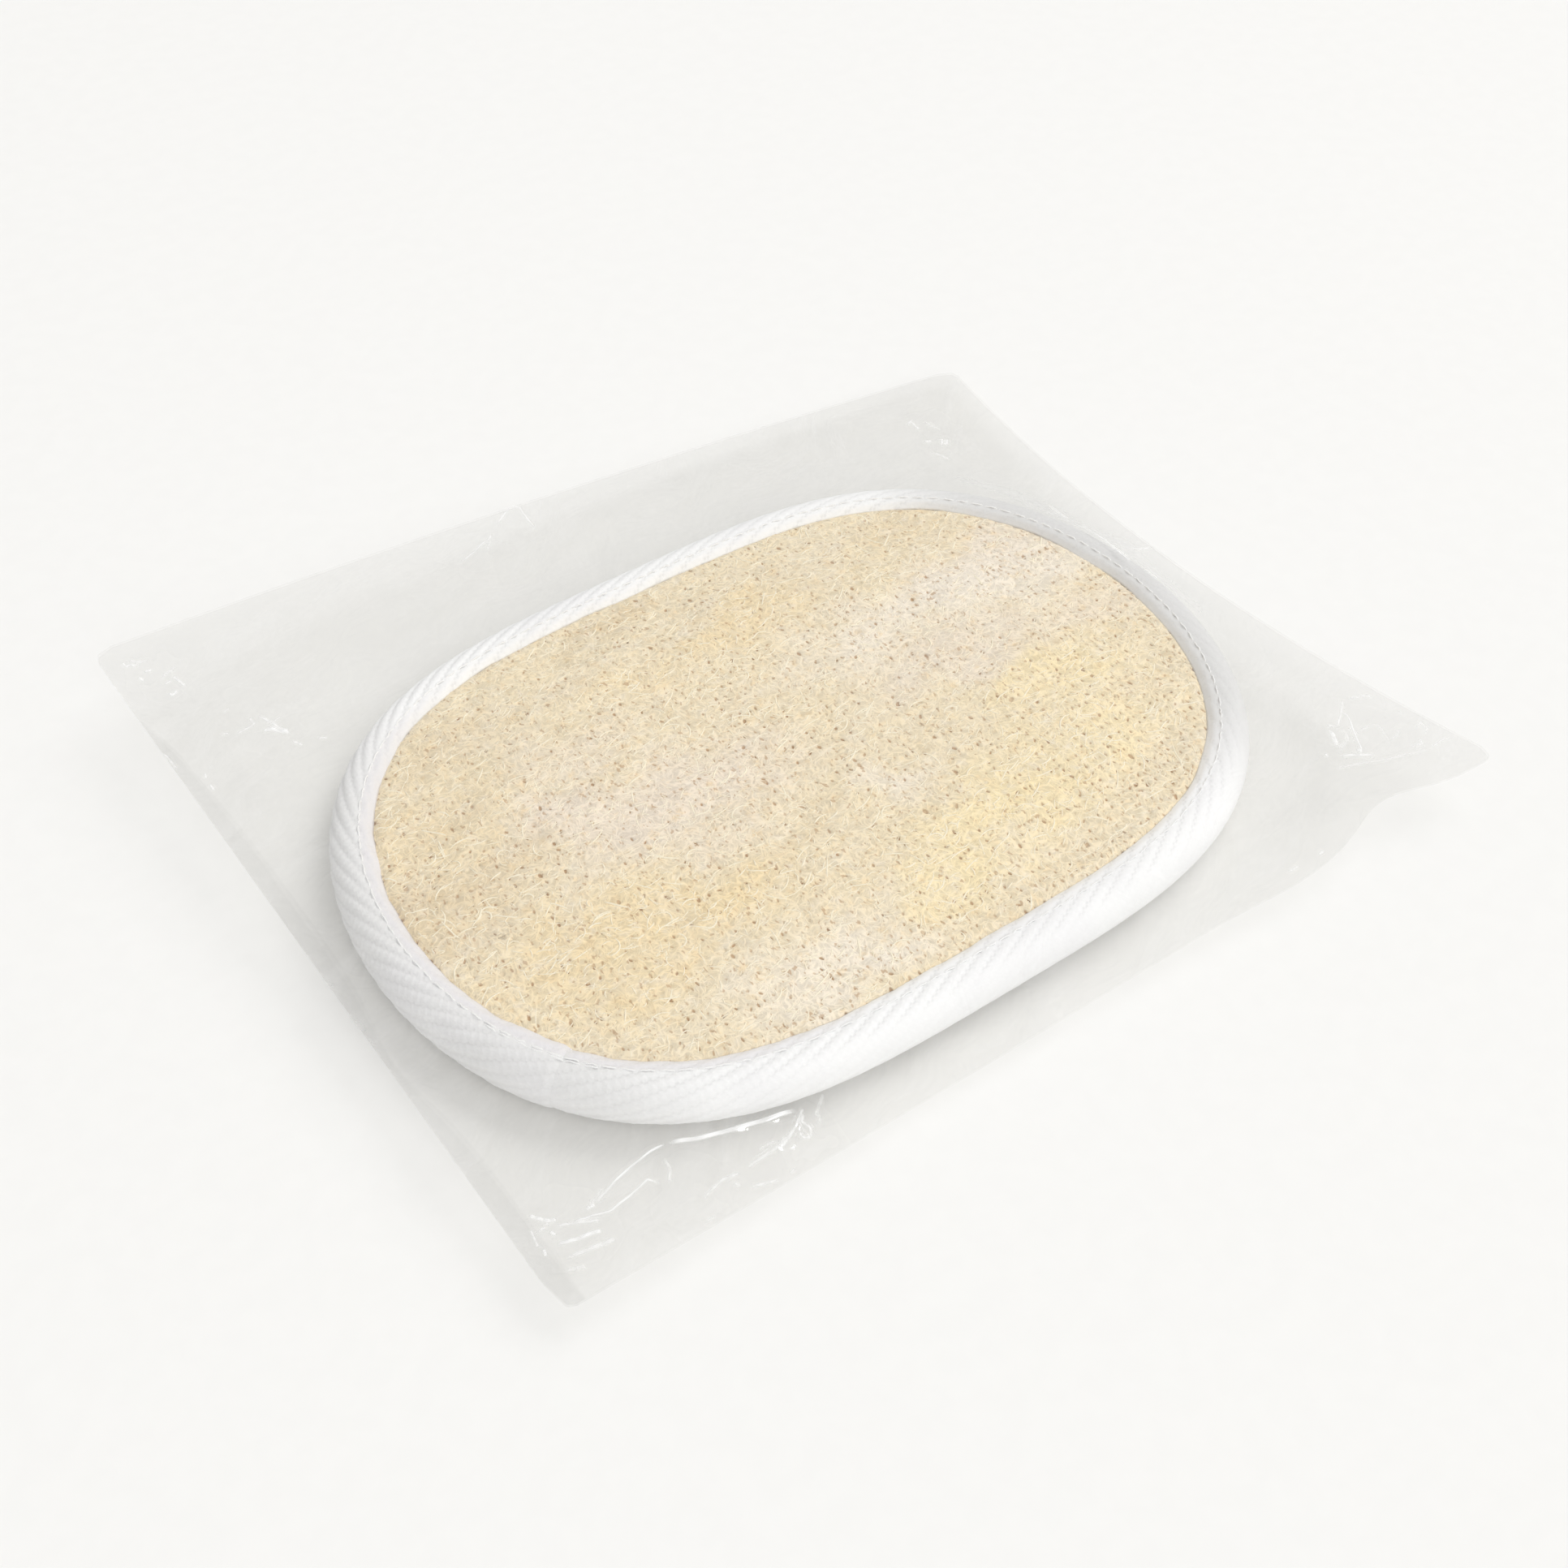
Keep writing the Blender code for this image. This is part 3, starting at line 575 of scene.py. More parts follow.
class Outline:
    """The oval outline of the pad's face, traced evenly, with its outward directions."""

    def __init__(self):
        size = bpy.context.scene.loofah_pad
        angle = (np.arange(TRACE_STEPS) + 0.5) * (TAU / TRACE_STEPS)
        cosine, sine = np.cos(angle), np.sin(angle)
        x = size.half_length * np.sign(cosine) * np.abs(cosine) ** (2.0 / size.end_power)
        y = size.half_width * np.sign(sine) * np.abs(sine) ** (2.0 / size.side_power)
        nx = size.end_power / size.half_length * np.sign(x) * np.abs(x / size.half_length) ** (size.end_power - 1.0)
        ny = size.side_power / size.half_width * np.sign(y) * np.abs(y / size.half_width) ** (size.side_power - 1.0)
        self.half = (size.half_length, size.half_width)
        self.centre = np.array(size.centre[:2])
        self.places = np.stack([x, y], 1)
        self.outward = np.stack([nx, ny], 1) / np.hypot(nx, ny)[:, None]
        step = np.hypot(np.diff(x, append=x[0]), np.diff(y, append=y[0]))
        self.marks = np.concatenate(([0.0], np.cumsum(step)))
        self.length = self.marks[-1]

    def at(self, along):
        """Places and outward directions at distances along the outline, counterclockwise from its +X end."""
        wanted = np.mod(along, self.length)
        found = []
        for values in (self.places, self.outward):
            closed = np.vstack([values, values[:1]])
            found.append(np.stack([np.interp(wanted, self.marks, closed[:, k]) for k in (0, 1)], -1))
        return found[0] + self.centre, found[1] / np.linalg.norm(found[1], axis=-1, keepdims=True)

    def polar(self, x, y):
        """Direction and distance of places from the pad's centre."""
        return np.arctan2(y - self.centre[1], x - self.centre[0]), np.hypot(x - self.centre[0], y - self.centre[1])

    def radius(self, direction, offset=0.0):
        """Distance from the centre to the outline pushed outwards by offset."""
        pushed = self.places + self.outward * offset
        angle = np.arctan2(pushed[:, 1], pushed[:, 0])
        return np.interp(direction, angle, np.hypot(pushed[:, 0], pushed[:, 1]), period=TAU)

    def outside(self, x, y):
        """About how far places lie outside the outline; inside it is negative."""
        direction, distance = self.polar(x, y)
        near = self.radius(direction)
        return (distance - near) * MM / (self.radius(direction, MM) - near)

    def height(self, x, y, centre, edge, rim, reach):
        """Height of a layer's face, in metres, from its heights in millimetres."""
        direction, distance = self.polar(x, y)
        face = self.radius(direction)
        inside = edge + (centre - edge) * smooth_step((1.0 - distance / face) / DOME_FRACTION)
        out = edge + (rim - edge) * np.clip(self.outside(x, y) / (reach * MM), 0.0, 1.0)
        return np.where(distance < face, inside, out) * MM


def flange(offset):
    """Height of the tape's outer face above the middle of the fold, across one flange."""
    return BINDING_RADIUS - FLANGE_DROP * ((HINGE - offset) / HINGE) ** 2


def loofah_top(outline, x, y):
    """Height of the loofah's upper face, with its slow unevenness."""
    height = outline.height(x, y, *LOOFAH_HEIGHTS[1], LOOFAH_HEIGHTS[2])
    inside = -outline.outside(x, y)
    shoulder = SHOULDER * smooth_step((inside + SHOULDER_START) / SHOULDER_RUN)
    uneven = UNEVENNESS * smooth_step(inside / (6.0 * MM)) * swell(x, y, 41, 16.0 * MM)
    return height + shoulder + uneven


# ---------------------------------------------------------------- pieces


def fresh_mesh(bm, name):
    mesh = bpy.data.meshes.new(name)
    bm.to_mesh(mesh)
    bm.free()
    return mesh


def places(mesh):
    values = np.empty(len(mesh.vertices) * 3, np.float32)
    mesh.vertices.foreach_get("co", values)
    return values.reshape(-1, 3).astype(float)


def put(mesh, values):
    mesh.vertices.foreach_set("co", values.astype(np.float32).ravel())
    mesh.update()


def paint(mesh, name, values):
    """Stores one number for each vertex."""
    mesh.attributes.new(name, "FLOAT", "POINT").data.foreach_set("value", values.astype(np.float32))


def settle(mesh, material, slot, *nodes):
    """Links a finished mesh as a piece that rides on the pad's one body."""
    made = bpy.data.objects.new(mesh.name, mesh)
    bpy.context.scene.collection.objects.link(made)
    mesh.materials.append(material)
    mesh.shade_smooth()
    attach(made, "root")
    if nodes:
        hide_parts(*nodes)
    return made


def slab(outline, reach, cell, seed):
    """A jittered grid cut to the outline, with its upper face lifted well clear of the lower one."""
    dice = random.Random(seed)
    half = [side + reach + cell for side in outline.half]
    counts = [round(2.0 * side / cell) for side in half]
    bm = bmesh.new()
    matrix = Matrix.Translation((*outline.centre, 0.0)) @ Matrix.Diagonal((*half, 1.0, 1.0))
    bmesh.ops.create_grid(bm, x_segments=counts[0], y_segments=counts[1], size=1.0, matrix=matrix)
    spots = np.array([vert.co[:2] for vert in bm.verts])
    for axis in (0, 1):
        slow = swell(spots[:, 0], spots[:, 1], seed + axis, 5.8 * cell) * 0.32 * cell
        quick = swell(spots[:, 0], spots[:, 1], seed + axis + 2, 2.9 * cell) * 0.13 * cell
        for vert, drift in zip(bm.verts, slow + quick):
            vert.co[axis] += drift + dice.uniform(-0.27, 0.27) * cell
    points, normals = outline.at(np.arange(CLIP_PLANES) * (outline.length / CLIP_PLANES))
    for point, normal in zip(points + normals * reach, normals):
        everything = bm.verts[:] + bm.edges[:] + bm.faces[:]
        bmesh.ops.bisect_plane(
            bm, geom=everything, dist=WELD, plane_co=(*point, 0.0), plane_no=(*normal, 0.0), clear_outer=True
        )
    grown = bmesh.ops.extrude_face_region(bm, geom=bm.faces[:])["geom"]
    upper = [g for g in grown if isinstance(g, bmesh.types.BMFace)]
    bmesh.ops.translate(bm, verts=[g for g in grown if isinstance(g, bmesh.types.BMVert)], vec=(0.0, 0.0, SIDE_LIFT))
    bmesh.ops.recalc_face_normals(bm, faces=bm.faces[:])
    return bm, upper


def split_edges(bm, faces):
    """Puts one more vertex on every edge of these faces."""
    edges = list(dict.fromkeys(edge for face in faces for edge in face.edges))
    bmesh.ops.bisect_edges(bm, edges=edges, cuts=1)


def spare(edge, middle):
    """Distance from a cell's middle to one of its edges, seen from above."""
    (ax, ay), (bx, by) = edge.verts[0].co.xy, edge.verts[1].co.xy
    return abs((bx - ax) * (middle.y - ay) - (by - ay) * (middle.x - ax)) / math.hypot(bx - ax, by - ay)


def ring_cells(bm, cells, plans):
    """Insets each cell in turn to elliptical rings and lifts or sinks them.

    A plan is the ellipse's lean, then (half length, half width, height) for each ring.
    """
    middles = [cell.calc_center_median() for cell in cells]
    rooms = [min(spare(edge, middle) for edge in cell.edges) for cell, middle in zip(cells, middles)]
    for ring in range(len(plans[0][1])):
        bmesh.ops.inset_individual(bm, faces=cells, thickness=1e-6)
        for cell, middle, room, (lean, rings) in zip(cells, middles, rooms, plans):
            half_length, half_width, rise = rings[ring]
            shrink = min(1.0, (0.88 - 0.10 * ring) * room / half_length)
            half_length, half_width = half_length * shrink, half_width * shrink
            cosine, sine = math.cos(lean), math.sin(lean)
            for vert in cell.verts:
                angle = math.atan2(vert.co.y - middle.y, vert.co.x - middle.x) - lean
                x, y = half_length * math.cos(angle), half_width * math.sin(angle)
                vert.co = (middle.x + x * cosine - y * sine, middle.y + x * sine + y * cosine, middle.z + rise)


def stand(mesh, outline, layer, upper=None):
    """Gives a slab its real heights and returns how far each vertex stands off its own face."""
    low, high, reach = layer
    values = places(mesh)
    is_upper = values[:, 2] > SIDE_LIFT / 2.0
    relief = values[:, 2] - is_upper * SIDE_LIFT
    x, y = values[:, 0], values[:, 1]
    top = upper(outline, x, y) if upper else outline.height(x, y, *high, reach)
    values[:, 2] = np.where(is_upper, top, outline.height(x, y, *low, reach)) + relief
    put(mesh, values)
    return relief, is_upper


def round_curve(name, thick, smoothness):
    """A curve with a round section and closed ends."""
    curve = bpy.data.curves.new(name, "CURVE")
    curve.dimensions = "3D"
    curve.bevel_depth = thick
    curve.bevel_resolution = smoothness
    curve.use_fill_caps = True
    return curve


def add_run(curve, path, closed=False):
    """Adds one run through the places of path to a curve."""
    run = curve.splines.new("POLY")
    run.points.add(len(path) - 1)
    run.points.foreach_set("co", np.column_stack([path, np.ones(len(path))]).ravel())
    run.use_cyclic_u = closed
    return run


def curve_mesh(curve, name):
    """The mesh of a curve, with its doubled vertices merged."""
    holder = bpy.data.objects.new(name + "_curve", curve)
    mesh = bpy.data.meshes.new_from_object(holder)
    mesh.name = name
    bpy.data.objects.remove(holder)
    bpy.data.curves.remove(curve)
    bm = bmesh.new()
    bm.from_mesh(mesh)
    bmesh.ops.remove_doubles(bm, verts=bm.verts[:], dist=WELD)
    bm.to_mesh(mesh)
    bm.free()
    return mesh


# ---------------------------------------------------------------- finishes


def loofah_colour(finish, where, look):
    """The fibre's cream, with soft pink, straw and pale patches and fine streaks."""
    bent = finish.bent(where, 90.0, 0.016)
    squeezed = finish.add("ShaderNodeVectorMath", {"operation": "MULTIPLY"}, {0: bent, 1: (PATCH_STRETCH, 1.0, 0.0)})

    def patches(spots):
        total = None
        for x, y, reach, strength in spots:
            middle = (PATCH_STRETCH * x * MM, y * MM, 0.0)
            gap = finish.add("ShaderNodeVectorMath", {"operation": "DISTANCE"}, {0: squeezed, 1: middle}, output=1)
            spot = (1.0 - gap.between(0.25 * reach * MM, 1.25 * reach * MM)) * strength
            total = spot if total is None else total.math("MAXIMUM", spot)
        return total

    wander = finish.noise(where, 55.0, detail=4.0, roughness=0.6).between(0.30, 0.70) * 0.35 + 0.65
    tone = look.cream
    for spots, shade in (
        (PINK_PATCHES, look.pink),
        (STRAW_PATCHES, look.straw),
        (BRIGHT_PATCHES, look.bright),
        (PALE_PATCHES, look.pale),
        (BROWN_PATCHES, look.brown),
    ):
        tone = finish.mix(patches(spots) * wander, tone, shade)
    mottle = finish.noise(where, 480.0, detail=5.0, roughness=0.65)
    tone = finish.mix(mottle.between(0.50, 0.72) * 0.42, tone, look.pale)
    return finish.mix((1.0 - mottle).between(0.51, 0.72) * 0.55, tone, look.amber)


def felt(finish, where):
    """Fine tangled fibre: curled streaks in four directions, the strongest at each place."""
    curled = finish.bent(where, 430.0, 0.0028)
    best = None
    for turn, shift in ((0.15, 0.000), (0.95, 0.013), (1.75, 0.029), (2.50, 0.047)):
        line = finish.mapped(curled, (330.0, 2500.0, 600.0), turn, (shift, shift, 0.0))
        streak = finish.noise(line, 1.0, detail=1.5, roughness=0.5)
        best = streak if best is None else best.math("MAXIMUM", streak)
    return best


def loofah_finish(name, lighten, pored):
    look = bpy.context.scene.loofah_look
    finish = Finish(name)
    where = finish.object_place()
    tone = loofah_colour(finish, where, look)
    fibres = felt(finish, where)
    # Lighter along the fibre streaks and darker between them: the fibre's own tone, with painted shade in the gaps
    glow = 0.956 + fibres.between(0.580, 0.670) * 0.130 - (1.0 - fibres).between(0.430, 0.490) * 0.100
    tone = finish.add("ShaderNodeVectorMath", {"operation": "SCALE"}, {"Vector": tone, "Scale": glow})
    if lighten:
        tone = finish.mix(lighten, tone, look.curl)
    if pored:
        pore = finish.attribute("pore")
        # Painted shade deep in the pores, then small specks in the same colour
        tone = finish.mix(pore * 0.95, tone, look.pore_shade)
        specks = finish.noise(finish.mapped(where, (1700.0, 900.0, 1000.0)), 1.0, detail=1.0)
        tone = finish.mix(specks.between(0.65, 0.72) * 0.70, tone, look.pore_shade)
    return finish.principled(tone, 0.82, finish.bump(0.60, 0.22 * MM, fibres), Specular_IOR_Level=0.28)


def foam_finish():
    finish = Finish("foam")
    where = finish.object_place()
    holes = finish.add("ShaderNodeTexVoronoi", {"feature": "F1"}, {"Vector": where, "Scale": 1500.0})
    walls = holes.between(0.25, 0.60)
    # Painted shade in the foam's cells
    tone = finish.mix(walls, *FOAM_COLOURS)
    return finish.principled(tone, 0.9, finish.bump(0.6, 0.3 * MM, walls))


def terry_finish():
    finish = Finish("terry")
    where = finish.object_place()
    curls = finish.noise(where, 1300.0, detail=4.0, roughness=0.7, distortion=1.2)
    # Painted shade between the terry's loops
    tone = finish.mix(curls.between(0.30, 0.62), *TERRY_COLOURS)
    return finish.principled(tone, 0.95, finish.bump(0.8, 0.3 * MM, curls), Sheen_Weight=0.2)


def tape_finish():
    """Twill: rows of yarn crossings that follow the ridges, from the tape's own length and width."""
    look = bpy.context.scene.loofah_tape
    finish = Finish("tape")
    row, run, bold = finish.parts(finish.attribute("weave", output=1))
    crest = (row * TAU).math("COSINE") * -0.5 + 0.5
    bead = ((run + row.math("FLOOR") * 0.5) * TAU).math("COSINE") * 0.5 + 0.5
    yarns = ((row * 3.0 + run * 0.5) * TAU).math("SINE") * 0.5 + 0.5
    fine = ((row - run * 2.0) * TAU).math("SINE") * 0.5 + 0.5
    where = finish.object_place()
    fluff = finish.noise(where, 2600.0, detail=3.0, roughness=0.7)
    cloth = crest * 0.45 + bead * crest * 0.30 + yarns * fine * 0.35 + fluff * 0.40
    hole = (1.0 - crest).between(0.62, 0.98) * (1.0 - bead).between(0.25, 0.90)
    worked = 1.0 - finish.attribute("plain") * 0.85
    # Painted shade in the weave's holes and low parts, less on the smooth side
    tone = finish.mix((hole * 0.48 + (1.0 - cloth).between(0.35, 0.95) * 0.15) * worked, look.white, look.shade)
    # Painted shade round the pad's two ends
    tone = finish.mix(finish.attribute("painted_end_shade"), tone, look.painted_end_shade)
    # Greyer on the lip beside the tape's cut end
    tone = finish.mix(finish.attribute("grey_lip") * 0.75, tone, look.lip_grey)
    wash = finish.noise(where, 60.0, detail=2.0)
    tone = finish.mix(wash.between(0.45, 0.75) * 0.30, tone, look.wash)
    strength = bold * 0.5 + 0.25
    height = cloth * strength - hole * 0.35 * worked
    bump = finish.bump(0.60, 0.13 * MM, height)
    return finish.principled(tone, 0.86, bump, Specular_IOR_Level=0.25, Sheen_Weight=0.10)


def thread_finish():
    look = bpy.context.scene.loofah_tape
    finish = Finish("thread")
    where = finish.object_place()
    sockets = {"Vector": where, "Scale": 1900.0, "Distortion": 1.0}
    ply = finish.add("ShaderNodeTexWave", {"bands_direction": "DIAGONAL"}, sockets, output=1)
    # Painted shade between the thread's plies
    tone = finish.mix(ply * 0.3, look.thread, look.twist)
    return finish.principled(tone, 0.38, finish.bump(0.25, 0.1 * MM, ply), Specular_IOR_Level=0.6)


def film_finish(name, haze_floor):
    """Clear film: see-through, glossy at grazing angles, darker where welded double, and white where creased, which
    is the crease's own whitening with painted glints; its faint white clouds and streaks are painted reflection.
    """
    look = bpy.context.scene.loofah_bag
    finish = Finish(name)
    where = finish.object_place()
    # Painted glints along the creases, on their own whitening
    gap = finish.attribute("crease_gap").math("ABSOLUTE")
    crease = (1.0 - gap.between(0.55, 1.60)) * finish.attribute("crease_whitening_and_glint")
    rim = finish.attribute("rim")
    facing = finish.add("ShaderNodeLayerWeight", None, {"Blend": 0.5}, output=1)
    cloud = finish.noise(where, 38.0, detail=3.0)
    ripple = finish.noise(where, 150.0, detail=2.0, roughness=0.4)
    bump = finish.bump(0.25, 0.4 * MM, ripple)
    seal_gap = finish.attribute("seal_gap")
    welded = 1.0 - seal_gap.between(-SEAL_EDGE, SEAL_EDGE)
    single = finish.add("ShaderNodeBsdfTransparent", None, {"Color": (*look.tint, 1.0)})
    double = finish.add("ShaderNodeBsdfTransparent", None, {"Color": (*(0.960 * c for c in look.tint), 1.0)})
    clear = finish.add("ShaderNodeMixShader", None, {0: welded, 1: single, 2: double})
    white = finish.add("ShaderNodeBsdfDiffuse", None, {"Color": (*look.haze_and_painted_light, 1.0)})
    matte = 0.42 - finish.attribute("crisp").between(0.05, 0.60) * 0.33
    sockets = {"Color": (1.0, 1.0, 1.0, 1.0), "Roughness": matte, "Normal": bump}
    gloss = finish.add("ShaderNodeBsdfAnisotropic", None, sockets)
    along = finish.mapped(finish.bent(where, 60.0, 0.02), (45.0, 230.0, 60.0), 0.35)
    streaks = finish.noise(along, 1.0, detail=4.0, roughness=0.62)
    # Faint white clouds and streaks: painted reflection
    mottle = cloud.between(0.35, 0.75) * 0.030 + streaks.between(0.44, 0.66) * 0.075
    # Share of the white: the film's own faint whiteness, the creases' whitening with painted glints, painted
    # reflection and a faint line along the rim
    white_share = crease + rim * 0.03 + mottle + haze_floor
    body = finish.add("ShaderNodeMixShader", None, {0: white_share.clamped(), 1: clear, 2: white})
    shine = facing.math("POWER", 5.0) * 0.90 + 0.062
    return finish.surface(finish.add("ShaderNodeMixShader", None, {0: shine.clamped(), 1: body, 2: gloss}))


# ---------------------------------------------------------------- operators


class LOOFAH_OT_mat(bpy.types.Operator):
    """Make the flattened loofah mat with its pores"""

    bl_idname = "loofah.add_mat"
    bl_label = "Loofah mat"

    def execute(self, context):
        look = context.scene.loofah_look
        outline = Outline()
        reach = LOOFAH_HEIGHTS[2] * MM
        bm, upper = slab(outline, reach, look.cell, 5)
        split_edges(bm, upper)
        middles = np.array([face.calc_center_median()[:2] for face in upper])
        gaps = outline.outside(middles[:, 0], middles[:, 1])
        cells = [face for face, gap in zip(upper, gaps) if gap < 0.5 * MM and len(face.verts) == 8]
        dice = random.Random(19)
        for face in upper:
            for vert in face.verts:
                vert.co.z += dice.uniform(-0.05, 0.05) * MM / 2.0
        plans = [self.pore(dice, look, *face.calc_center_median()[:2]) for face in cells]
        ring_cells(bm, cells, plans)
        mesh = fresh_mesh(bm, "loofah_mat_felt")
        relief, is_upper = stand(mesh, outline, LOOFAH_HEIGHTS, loofah_top)
        # How deep each vertex lies in its pore, painted as shade by the material
        paint(mesh, "pore", smooth_step((-relief - 0.06 * MM) / (0.14 * MM)) * is_upper)
        made = settle(mesh, loofah_finish("loofah", 0.0, True), "loofah", "loofah_mat")
        return {"FINISHED"}

    @staticmethod
    def pore(dice, look, x, y):
        """One cell: an open pore, which mostly lies across the pad, or only a shallow dimple."""
        lean = math.radians(dice.gauss(86.0, 24.0))
        crowded = min(1.0, max(0.0, (x - 1.6 * y - 55.0 * MM) / (60.0 * MM)))
        if dice.random() > 0.42 + 0.48 * crowded:
            wide = dice.uniform(0.25, 0.50) * MM
            dip = dice.uniform(-0.10, 0.06) * MM
            return lean, ((0.62 * MM, 0.50 * MM, dice.uniform(-0.02, 0.08) * MM), (wide, 0.7 * wide, dip))
        size = dice.choices((0.55, 0.85, 1.20, 1.90), weights=(40, 36, 13, 2))[0] * dice.uniform(0.80, 1.20)
        long_half = 0.30 * MM * size
        short_half = long_half * dice.uniform(0.32, 0.58)
        depth = -look.pore_depth * min(1.0, 0.35 + 0.55 * size) * dice.uniform(0.6, 1.0)
        lip = 0.15 * MM
        return lean, (
            (min(long_half + lip, 0.66 * MM), min(short_half + lip, 0.55 * MM), dice.uniform(0.0, 0.07) * MM),
            (long_half, short_half, 0.60 * depth),
        )


class LOOFAH_OT_fibres(bpy.types.Operator):
    """Lay the loose curled fibres on the loofah mat"""

    bl_idname = "loofah.add_fibres"
    bl_label = "Loofah fibres"

    def execute(self, context):
        look = context.scene.loofah_look
        outline = Outline()
        self.lay(outline, look.short_fibres, *SHORT_FIBRES)
        self.lay(outline, look.long_fibres, *LONG_FIBRES)
        return {"FINISHED"}

    @staticmethod
    def lay(outline, wanted, name, seed, lengths, radii, steps, spread, lighten, sunk):
        """Scatters one kind of curled fibre over the face."""
        dice = random.Random(seed)
        t = np.linspace(-1.0, 1.0, steps)
        taper = np.array([0.35, *([1.0] * (steps - 2)), 0.35])
        taper[1:-1] = 0.75 + 0.25 * np.cos(t[1:-1] * 1.6)
        xs, ys, arches, thick = [], [], [], []
        while len(xs) < wanted:
            x = dice.uniform(-1.0, 1.0) * outline.half[0]
            y = dice.uniform(-1.0, 1.0) * outline.half[1]
            spot = (np.array([x + outline.centre[0]]), np.array([y + outline.centre[1]]))
            if outline.outside(*spot)[0] > -FIBRE_MARGIN:
                continue
            run = dice.uniform(*lengths) * MM
            turn = dice.gauss(0.0, 0.55 * spread)
            if dice.random() < 0.22 * spread:
                turn += dice.choice((-1.0, 1.0)) * dice.uniform(0.6, 1.6)
            if dice.random() < 0.45 / max(spread, 0.5):
                start = math.radians(dice.gauss(8.0, 20.0))
            else:
                start = dice.uniform(0.0, TAU)
            heading = start + turn * t + 0.18 * math.sin(dice.uniform(0.0, TAU)) * np.sin(3.0 * t)
            step = run / (steps - 1)
            px = np.concatenate(([0.0], np.cumsum(np.cos(heading[1:]) * step)))
            py = np.concatenate(([0.0], np.cumsum(np.sin(heading[1:]) * step)))
            xs.append(px - px.mean() + x + outline.centre[0])
            ys.append(py - py.mean() + y + outline.centre[1])
            arches.append(dice.uniform(0.02, 0.15) * (1.0 - t ** 2) - sunk)
            thick.append(dice.uniform(*radii) * MM * taper)
        x, y = np.array(xs), np.array(ys)
        over = np.clip(outline.outside(x.ravel(), y.ravel()).reshape(x.shape) + FIBRE_ROOM, 0.0, None)
        direction, distance = outline.polar(x, y)
        pull = np.maximum(distance - over, 0.0) / np.maximum(distance, 1e-9)
        x = outline.centre[0] + (x - outline.centre[0]) * pull
        y = outline.centre[1] + (y - outline.centre[1]) * pull
        z = loofah_top(outline, x.ravel(), y.ravel()).reshape(x.shape) + np.array(arches) * MM
        curve = round_curve(name, 1.0, 0)
        for path, radii in zip(np.stack([x, y, z], -1), thick):
            add_run(curve, path).points.foreach_set("radius", radii)
        settle(curve_mesh(curve, name), loofah_finish(name, lighten, False), "loofah")


class LOOFAH_OT_filling(bpy.types.Operator):
    """Make the foam filling and the terry back"""

    bl_idname = "loofah.add_filling"
    bl_label = "Foam and terry"

    def execute(self, context):
        outline = Outline()
        bm, upper = slab(outline, FOAM_HEIGHTS[2] * MM, FOAM_CELL, 7)
        split_edges(bm, upper)
        dice = random.Random(29)
        cells = [face for face in upper if len(face.verts) == 8]
        plans = []
        for _ in cells:
            half_length = dice.uniform(0.5, 0.8) * MM
            half_width = dice.uniform(0.5, 0.8) * MM
            plans.append((0.0, ((half_length, half_width, -0.25 * MM),)))
        ring_cells(bm, cells, plans)
        mesh = fresh_mesh(bm, "foam_filling_cells")
        stand(mesh, outline, FOAM_HEIGHTS)
        settle(mesh, foam_finish(), "foam", "foam_filling")
        self.terry(outline)
        return {"FINISHED"}

    @staticmethod
    def terry(outline):
        """The cloth back, with small loops on its underside."""
        bm, _ = slab(outline, TERRY_HEIGHTS[2] * MM, TERRY_CELL, 9)
        lower = [face for face in bm.faces if face.calc_center_median().z < 1e-4]
        dice = random.Random(31)
        cells = [face for face in lower if len(face.verts) == 4]
        plans = []
        for _ in cells:
            wide = dice.uniform(0.42, 0.60) * MM
            lean = dice.uniform(0.0, TAU)
            tip = -dice.uniform(0.28, 0.36) * MM
            plans.append((lean, ((wide, 0.8 * wide, -0.22 * MM), (0.55 * wide, 0.4 * wide, tip))))
        ring_cells(bm, cells, plans)
        mesh = fresh_mesh(bm, "terry_back_loops")
        stand(mesh, outline, TERRY_HEIGHTS)
        made = settle(mesh, terry_finish(), "terry", "terry_back")


